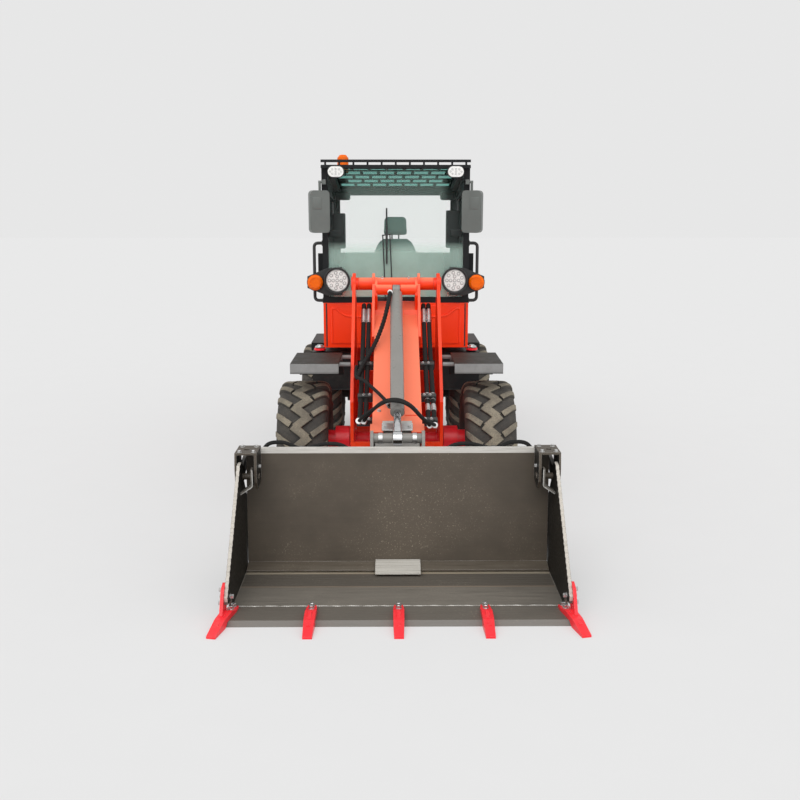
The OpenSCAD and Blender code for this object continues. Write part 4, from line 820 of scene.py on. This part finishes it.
# Front panels: pressed steel beside the tower with a rounded bead along the pressing, and a black rubber seal
# where each panel meets the tub's corner.
panel_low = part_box("cab_panels")[0]
press_y = panel_low.y + 0.002
press_corners = ((0.552, panel_low.z + 0.045), (0.552, 1.384), (0.520, 1.384), (0.442, 1.316), (0.206, 1.306))
seal_x, seal_y = 0.600, cab_front - 0.003
seal_ends = (panel_low.z + 0.010, 1.425)
press_lines, seal_lines = [], []
for side in (-1, 1):
    press_lines.append(bent([(side * x, press_y, z) for x, z in press_corners], 0.045, 8))
    seal_lines.append([Vector((side * seal_x, seal_y, z)) for z in seal_ends])
tubes("panel_beads", press_lines, 0.0090, orange, "rear", 16)
tubes("panel_seals", seal_lines, 0.0065, black_plastic, "rear", 10)

# Handrails, wiper and mirrors: rails of bent black tube on the corner posts, a wiper with two arms that keep
# its blade upright, and mirrors with glass on their rear side.
rail_low, rail_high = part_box("handrails")
rail_r = 0.0138
rail_y = (rail_low.y + rail_high.y) / 2
rail_x = rail_high.x - rail_r
rail_foot, rail_head = rail_low.z + rail_r, rail_high.z - rail_r
rail_root = cab_side - 0.004
rails, flange_spots = [], []
for side in (-1, 1):
    corners = ((rail_root, rail_foot), (rail_x, rail_foot), (rail_x, rail_head), (rail_root, rail_head))
    rails.append(bent([(side * x, rail_y, z) for x, z in corners], 0.060, 8))
    for z in (rail_foot, rail_head):
        flange_spots.append((Vector((side * (cab_side - 0.001), rail_y, z)), (side, 0, 0)))
rail_tubes = tubes("handrail_tubes", rails, rail_r, black_plastic, "rear")
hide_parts("handrails")
flange = ((0.0, 0.024), (0.005, 0.024), (0.007, 0.022), (0.007, 0.015), (0.012, 0.0142))
turnings("handrail_flanges", flange_spots, flange, black_plastic, "rear", 24)

wiper_spot = Vector((-0.060, cab_front - 0.022, 1.450))
arm_lines = []
for foot, head in ((-0.030, -0.052), (0.030, 0.010)):
    corners = ((foot, 0.030, 0), (foot, 0, 0.012), (0.5 * (foot + head), -0.006, 0.30), (head, 0.004, 0.560))
    arm_lines.append(bent([wiper_spot + Vector(c) for c in corners], 0.05))
arm_lines.append([wiper_spot + Vector(c) for c in ((-0.058, 0.006, 0.556), (0.016, 0.006, 0.566))])
arms = tubes("wiper_arms", arm_lines, 0.0055, black_plastic, "rear", 8)
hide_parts("wiper")
blade_spot = wiper_spot - Vector((0.018, 0, 0))
blade_parts = (
    ((-0.007, 0.010, 0.315), (0.007, 0.026, 0.785), 0.003),
    ((-0.003, 0.025, 0.320), (0.003, 0.0415, 0.780), 0.001),
    ((-0.010, 0.000, 0.470), (0.010, 0.016, 0.640), 0.004),
    ((-0.075, 0.010, -0.034), (0.075, 0.024, 0.026), 0.006),
)
points, faces = [], []
for low, high, soft in blade_parts:
    rounded(points, faces, low, high, soft, lambda x, y, z: blade_spot + Vector((x, y, z)))
piece("wiper_blade", points, faces, [black_plastic], "rear", smooth=False)

mirror_x, mirror_z, mirror_turn = 0.658, 2.205, 22
mirror_glass = plated("mirror_glass", (0.78, 0.80, 0.80), 0.06, 1.0)


def on_mirrors(name, ahead, boxes, radius, material, smooth):
    """Boxes on both mirrors, in each mirror's own turned frame, whose middle lies ahead of the cab."""
    points, faces = [], []
    for side in (-1, 1):
        turn = Matrix.Rotation(-side * math.radians(mirror_turn), 3, "Z")
        hold = Vector((side * mirror_x, cab_front - ahead, mirror_z))
        for low, high in boxes:
            rounded(points, faces, low, high, radius, lambda x, y, z: hold + turn @ Vector((x, y, z)))
    piece(name, points, faces, [material], "rear", smooth)


glass_box = ((-0.066, -0.001, -0.155), (0.066, 0.0025, 0.155))
back_boxes = (
    ((-0.062, -0.004, -0.150), (0.062, 0.004, 0.150)),
    ((-0.040, -0.008, 0.020), (0.040, 0.002, 0.120)),
)
on_mirrors("mirror_glasses", 0.054, (glass_box,), 0.0012, mirror_glass, False)
on_mirrors("mirror_backs", 0.126, back_boxes, 0.0035, mirror_plastic, True)

# Driver's seat: foam pads in green-grey cloth with sewn channels, on a black suspension base with a rubber
# bellows. The pads are crowned forms; the base is bolted to the cab's floor.
cloth, tone = finish("seat_cloth")
threads = []
for direction in ("X", "Z"):
    bands = {"wave_type": "BANDS", "bands_direction": direction}
    threads.append(tone.node("TexWave", bands, {"Vector": tone.place, "Scale": 260.0}))
weave = threads[0] * threads[1]
wear = tone.noise(12.0, 5.0)
(weave * 0.4 + wear * 0.6).mix((0.075, 0.125, 0.108), (0.150, 0.230, 0.200)).feed("Base Color")
wear.span(0.3, 0.7, 0.75, 0.95).feed("Roughness")
tone.bump(weave, 0.2, 0.0006)
channel_width, channel_depth = 0.035, 0.010
pad_waist = 0.012


def cushion(name, half, radius, crown, place, channels=(), narrow=0.0):
    """A crowned pad that may narrow to its top; channels are sewn across it at shares of its half height."""
    shaped = bmesh.new()
    bmesh.ops.create_cube(shaped, size=2.0)
    bmesh.ops.subdivide_edges(shaped, edges=shaped.edges[:], cuts=23, use_grid_fill=True)
    inner = Vector([h - radius for h in half])
    for corner in shaped.verts:
        share = corner.co.copy()
        spot = Vector([share[k] * half[k] for k in range(3)])
        core = Vector([max(-inner[k], min(inner[k], spot[k])) for k in range(3)])
        out = spot - core
        if out.length > 0:
            spot = core + out.normalized() * min(radius, out.length)
        swell = (1 - share.x ** 2) * (1 - share.z ** 2)
        sewn = sum(math.exp(-((share.z - line) / channel_width) ** 2) for line in channels)
        face = 1 if share.y > 0 else -1
        if abs(share.y) > 0.98:
            spot.y += face * (crown * swell - channel_depth * sewn * (1 - share.x ** 4))
        spot.x -= pad_waist * (1 - share.z ** 2) * share.x
        spot.x *= 1 - narrow * max(0.0, share.z) ** 2
        corner.co = place(spot)
    mesh = bpy.data.meshes.new(name)
    shaped.to_mesh(mesh)
    shaped.free()
    mesh.materials.append(cloth)
    mesh.polygons.foreach_set("use_smooth", [True] * len(mesh.polygons))
    made = bpy.data.objects.new(name, mesh)
    scene.collection.objects.link(made)
    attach(made, "rear")
    return made


seat_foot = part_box("seat")[0].z
seat_y = cab_front + 0.700
seat_lean = Matrix.Rotation(math.radians(-12), 3, "X")
seat_hip = Vector((0, seat_y + 0.190, seat_foot + 0.400))


def on_back(x, y, rise):
    """A point on the leaning back, by its height above the hip."""
    return seat_hip + seat_lean @ Vector((x, y - 0.005, rise))


seat_cushion = cushion("seat_cushion", (0.243, 0.058, 0.253), 0.042, 0.012,
                       lambda s: Vector((s.x, seat_y - 0.015 + s.z, seat_foot + 0.340 + s.y)),
                       (-0.45, 0.0, 0.45))
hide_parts("seat")
cushion("seat_back", (0.228, 0.053, 0.238), 0.042, 0.012, lambda s: on_back(s.x, s.y, 0.242 + s.z),
        (-0.55, -0.15, 0.25), narrow=0.42)
cushion("seat_headrest", (0.118, 0.048, 0.084), 0.038, 0.010, lambda s: on_back(s.x, s.y, 0.606 + s.z),
        narrow=0.14)
fold_rise = 0.046
points, faces = [], []
rounded(points, faces, (-0.150, seat_y - 0.160, seat_foot), (0.150, seat_y + 0.180, seat_foot + 0.050), 0.010)
for fold in range(5):
    base = seat_foot + 0.048 + fold_rise * fold
    rounded(points, faces, (-0.140, seat_y - 0.150, base), (0.140, seat_y + 0.170, base + 0.048), 0.018)
for x in (-0.032, 0.032):
    swept(points, faces, [on_back(x, 0, 0.460), on_back(x, 0, 0.560)], 0.007)
piece("seat_base", points, faces, [black_plastic], "rear")

# Cab fittings: a document box and a small cabinet behind the windscreen's sides, each under a bent grab tube,
# and black covers over the speakers in the ceiling's rear corners. All are screwed to the posts.
points, faces = [], []
for side, foot, head in ((-1, 1.890, 2.190), (1, 1.895, 2.215)):
    for corner, opposite, soft in (
        ((0.435, cab_front + 0.075, foot), (0.545, cab_front + 0.170, head), 0.012),
        ((0.470, cab_front + 0.045, foot + 0.10), (0.581, cab_front + 0.082, foot + 0.16), 0.006),
        ((0.430, 1.580, 2.305), (0.570, 1.760, 2.385), 0.020),
    ):
        rounded(points, faces, (side * corner[0], *corner[1:]), (side * opposite[0], *opposite[1:]), soft)
    grab = ((0.500, 0.120, head - 0.01), (0.505, 0.120, head + 0.06), (0.560, 0.110, head + 0.130),
            (0.572, 0.045, head + 0.150))
    swept(points, faces, bent([(side * x, cab_front + y, z) for x, y, z in grab], 0.05), 0.008)
piece("cab_boxes", points, faces, [satin_black], "rear")

# Bucket fastenings: a weld across the floor behind the cutting edge, plated bolts through the teeth and
# brackets, and two hoses along the top bar to the cylinders behind the back.
weld_steel = plated("weld_steel", (0.70, 0.68, 0.64), 0.40, 0.3)
lip_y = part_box("bucket_clam")[0].y
weld_back, weld_z, weld_half, weld_step = 0.223, 0.0215, 0.930, 0.005
weld_line, weld_r = [], []
for k in range(round(2 * weld_half / weld_step) + 1):
    x = weld_step * k - weld_half
    waver = 0.0018 * math.sin(41 * x) + 0.0012 * math.sin(133 * x)
    weld_line.append(Vector((x, lip_y + weld_back + waver, weld_z)))
    weld_r.append(0.0050 + 0.0011 * math.sin(780 * x) + 0.0009 * math.sin(67 * x))
tubes("floor_weld", [weld_line], weld_r, weld_steel, "clam", 8)

upward = Vector((0, 0, 1))
side_plate = 0.945
tooth_gap = 0.489
cutter_face = side_plate + 0.038
tooth_bolts = []
for k in (-1, 0, 1):
    for back, high in ((0.190, 0.0395), (0.152, 0.0415)):
        tooth_bolts.append((Vector((tooth_gap * k, lip_y + back, high)), upward))
for side in (-1, 1):
    outward = Vector((side, 0, 0))
    for back, aside, high in ((0.190, 0.014, 0.0395), (0.150, 0.006, 0.0420)):
        tooth_bolts.append((Vector((side * (side_plate - aside), lip_y + back, high)), upward))
    tooth_bolts.append((Vector((side * side_plate, lip_y + 0.165, 0.110)), -outward))
    for back, high in ((0.165, 0.110), (0.120, 0.090), (0.150, 0.155)):
        tooth_bolts.append((Vector((side * cutter_face, lip_y + back, high)), outward))
bolts("tooth_bolts", tooth_bolts, 0.027, zinc, "clam", tall=0.75)

hinge_y = seam - 0.055
bracket_in, bracket_top = side_plate - 0.096, 0.800
bracket_bolts = []
points, faces = [], []
for side in (-1, 1):
    for y in (hinge_y - 0.035, hinge_y + 0.095):
        for x in (bracket_in + 0.022, side_plate + 0.010):
            bracket_bolts.append((Vector((side * x, y, bracket_top)), upward))
    keeper_face = side * (bracket_in - 0.004)
    rounded(points, faces, (keeper_face, hinge_y - 0.012, 0.668),
            (side * (bracket_in + 0.001), hinge_y + 0.012, 0.720), 0.002)
    bracket_bolts.append((Vector((keeper_face, hinge_y, 0.704)), Vector((-side, 0, 0))))
bolts("bracket_bolts", bracket_bolts, 0.022, zinc, "coupler")
piece("bracket_keepers", points, faces, [satin_black], "coupler", smooth=False)
worn_edge = plated("worn_edge", (0.62, 0.61, 0.58), 0.35, 0.5)
pocket_x, pocket_y = bracket_in + 0.0240, hinge_y - 0.105
pocket_corners = ((pocket_x, 0.708), (pocket_x, 0.603), (side_plate, 0.556))
pocket_lines = [bent([(side * x, pocket_y, z) for x, z in pocket_corners], 0.012) for side in (-1, 1)]
tubes("pocket_edges", pocket_lines, 0.0035, worn_edge, "clam", 8)

hose_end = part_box("bucket_hoses")[1].x - 0.013
bar_y = seam + 0.065
over_bar = bar_y + 0.070
down_back = seam + 0.125
bucket_route = (
    (0.240, bar_y + 0.075, 0.665), (0.330, over_bar, 0.775), (0.450, over_bar, 0.795),
    (0.600, over_bar, 0.765), (0.720, over_bar, 0.805), (0.830, bar_y + 0.062, 0.775),
    (hose_end, seam + 0.115, 0.575), (hose_end, down_back, 0.430),
    (hose_end, down_back, 0.370), (hose_end, down_back, 0.3201),
)
bucket_lines = [flowing([(side * x, y, z) for x, y, z in bucket_route]) for side in (-1, 1)]
bucket_hose = tubes("bucket_hose_lines", bucket_lines, 0.0125, hose_rubber, "coupler")
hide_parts("bucket_hoses")
ends = [fitting(line, k) for line in bucket_lines for k in (1, 66)]
turnings("bucket_hose_ends", ends, short_crimp, zinc, "coupler", 14)
clip_half = 0.016
points, faces = [], []
for side in (-1, 1):
    for x in (0.330, 0.600):
        rounded(points, faces, (side * x - clip_half, bar_y + 0.045, 0.754),
                (side * x + clip_half, bar_y + 0.088, 0.780), 0.005)
piece("bucket_hose_clamps", points, faces, [black_plastic], "coupler")

# Boom fittings: hoses that cross over the boom's front end to the tilt cylinder, a hose in a spiral guard,
# grease nipples on the pivot tube, bolted plates on the box, collars on the coupler and caps on the tanks.
cross_lines, cross_ends = [], []
for step in (0.0, 0.034):
    knots = (
        (-0.222 - step, 1.500, -0.232), (-0.224 - step, 1.560, -0.170), (-0.170 - step, 1.610 + step, -0.050),
        (-0.090, 1.640 + step, 0.050 + 0.5 * step), (0.000, 1.655 + step, 0.078 + 0.4 * step),
        (0.085, 1.665 + step, 0.040 + 0.5 * step), (0.160 + 0.5 * step, 1.660 + step, -0.060),
        (0.215 + step, 1.620, -0.160), (0.222 + step, 1.540, -0.232),
    )
    line = flowing([on_boom(*k) for k in knots])
    cross_lines.append(line)
    cross_ends += [fitting(line, 3, 2), fitting(line, -4, -2)]
port_knots = (
    (-0.300, 0.820, -0.235), (-0.298, 0.980, -0.215), (-0.240, 1.120, -0.150), (-0.160, 1.270, -0.120),
    (-0.095, 1.400, -0.100), (-0.062, 1.500, -0.075), (-0.050, 1.560, -0.042),
)
port_hose = flowing([on_boom(*k) for k in port_knots])
cross_lines.append(port_hose)
cross_ends.append(fitting(port_hose, -9, 2))
tubes("boom_cross_hoses", cross_lines, 0.0120, hose_rubber, "boom")
spiral_knots = (
    (-0.046, 0.175, 0.020), (-0.050, 0.235, 0.048), (-0.066, 0.360, 0.020), (-0.100, 0.500, -0.050),
    (-0.150, 0.640, -0.118), (-0.205, 0.760, -0.165), (-0.255, 0.860, -0.205), (-0.295, 0.980, -0.235),
)
spiral_line = flowing([on_boom(*k) for k in spiral_knots], 22)
spiral_r = [0.0170 if k % 4 < 2 else 0.0146 for k in range(len(spiral_line))]
tubes("boom_spiral_hose", [spiral_line], spiral_r, hose_rubber, "boom")
cross_ends.append(fitting(spiral_line, 2, 2))
turnings("boom_cross_ends", cross_ends, short_crimp, zinc, "boom", 14)
nipple = (
    (-0.002, 0.0090), (0.008, 0.0090), (0.009, 0.0060), (0.016, 0.0060), (0.019, 0.0042), (0.024, 0.0046),
    (0.027, 0.0020),
)
nipple_lean = on_boom(0, 0.4, 1) - on_boom(0, 0, 0)
nipples = [(on_boom(x, 0.0, 0.049), nipple_lean) for x in (-0.110, 0.100)]
turnings("pivot_nipples", nipples, nipple, zinc, "boom", 12)
box_top = -0.169
for name, corner, opposite, soft, paint in (
    ("boom_patch", (0.052, 1.400, box_top - 0.001), (0.162, 1.510, box_top + 0.006), 0.003, boom_orange),
    ("boom_front_plate", (-0.105, 1.600, box_top - 0.001), (0.105, 1.680, box_top + 0.010), 0.004, zinc),
):
    points, faces = [], []
    rounded(points, faces, corner, opposite, soft, on_boom)
    piece(name, points, faces, [paint], "boom", smooth=False)
plate_spots = ((0.130, 1.455, 0.006), (-0.125, 1.455, 0.0), (-0.080, 1.640, 0.010), (0.080, 1.640, 0.010))
plate_bolts = [(on_boom(x, ahead, box_top + lift), box_up) for x, ahead, lift in plate_spots]
bolts("boom_plate_bolts", plate_bolts, 0.022, zinc, "boom")
tilt_end = on_boom(0, 1.963, 0)
collar = ((0.0, 0.034), (0.001, 0.0365), (0.027, 0.0365), (0.028, 0.034))
collars = [(tilt_end + Vector((side * 0.095, 0, 0)), Vector((side, 0, 0))) for side in (-1, 1)]
turnings("coupler_collars", collars, collar, zinc, "coupler", 28)
cap_x, cap_y, cap_z = 0.670, 0.74735, 1.0295
cap_spots = [(Vector((side * cap_x, cap_y, cap_z)), upward) for side in (-1, 1)]
cap = ((0.0, 0.0430), (0.006, 0.0430), (0.010, 0.0400), (0.012, 0.0280), (0.019, 0.0260), (0.022, 0.0200))
turnings("tank_caps", cap_spots, cap, zinc, "rear", 28)
cap_ring = ((0.0, 0.0505), (0.001, 0.0515), (0.016, 0.0515), (0.017, 0.0505))
ring_spots = [(spot - upward * 0.024, outward) for spot, outward in cap_spots]
turnings("tank_cap_rings", ring_spots, cap_ring, crimson, "rear", 28)

# Rear and hub details: rubber frames round the tail lamps on the counterweight, ribs moulded across their red
# lenses, and plated cover screws on the axles' hub ends.
tail_low, tail_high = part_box("tail_lamps")
lamp_wide = 0.130
lamp_in, lamp_out, lamp_y = tail_high.x - lamp_wide, tail_high.x, tail_high.y
rib_half = 0.0025
frame_corners = (
    (lamp_in, tail_low.z), (lamp_out, tail_low.z), (lamp_out, tail_high.z), (lamp_in, tail_high.z),
    (lamp_in, tail_low.z),
)
frame_points, frame_faces = [], []
rib_points, rib_faces = [], []
for side in (-1, 1):
    frame_line = bent([(side * x, lamp_y + 0.002, z) for x, z in frame_corners], 0.012)
    swept(frame_points, frame_faces, frame_line, 0.0055)
    for share in (0.36, 0.68):
        x = side * (lamp_in + share * lamp_wide)
        rounded(rib_points, rib_faces, (x - rib_half, lamp_y - 0.002, tail_low.z),
                (x + rib_half, lamp_y + 0.003, tail_high.z), 0.001)
piece("tail_lamp_frames", frame_points, frame_faces, [black_plastic], "rear")
piece("tail_lamp_ribs", rib_points, rib_faces, [red_lens], "rear", smooth=False)
screw_circle, screws_a_hub, screw_turn = 0.052, 6, 0.3
for end in ("front", "rear"):
    low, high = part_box(f"{end}_axle")
    centre = centre_of(f"rim_{end}_left")
    screws = []
    for side, face in ((-1, low.x), (1, high.x)):
        ring = hub_circle(face, centre, screw_circle, screws_a_hub, screw_turn)
        screws += [(spot, Vector((side, 0, 0))) for spot in ring]
    bolts(f"hub_screws_{end}", screws, 0.015, zinc, end)
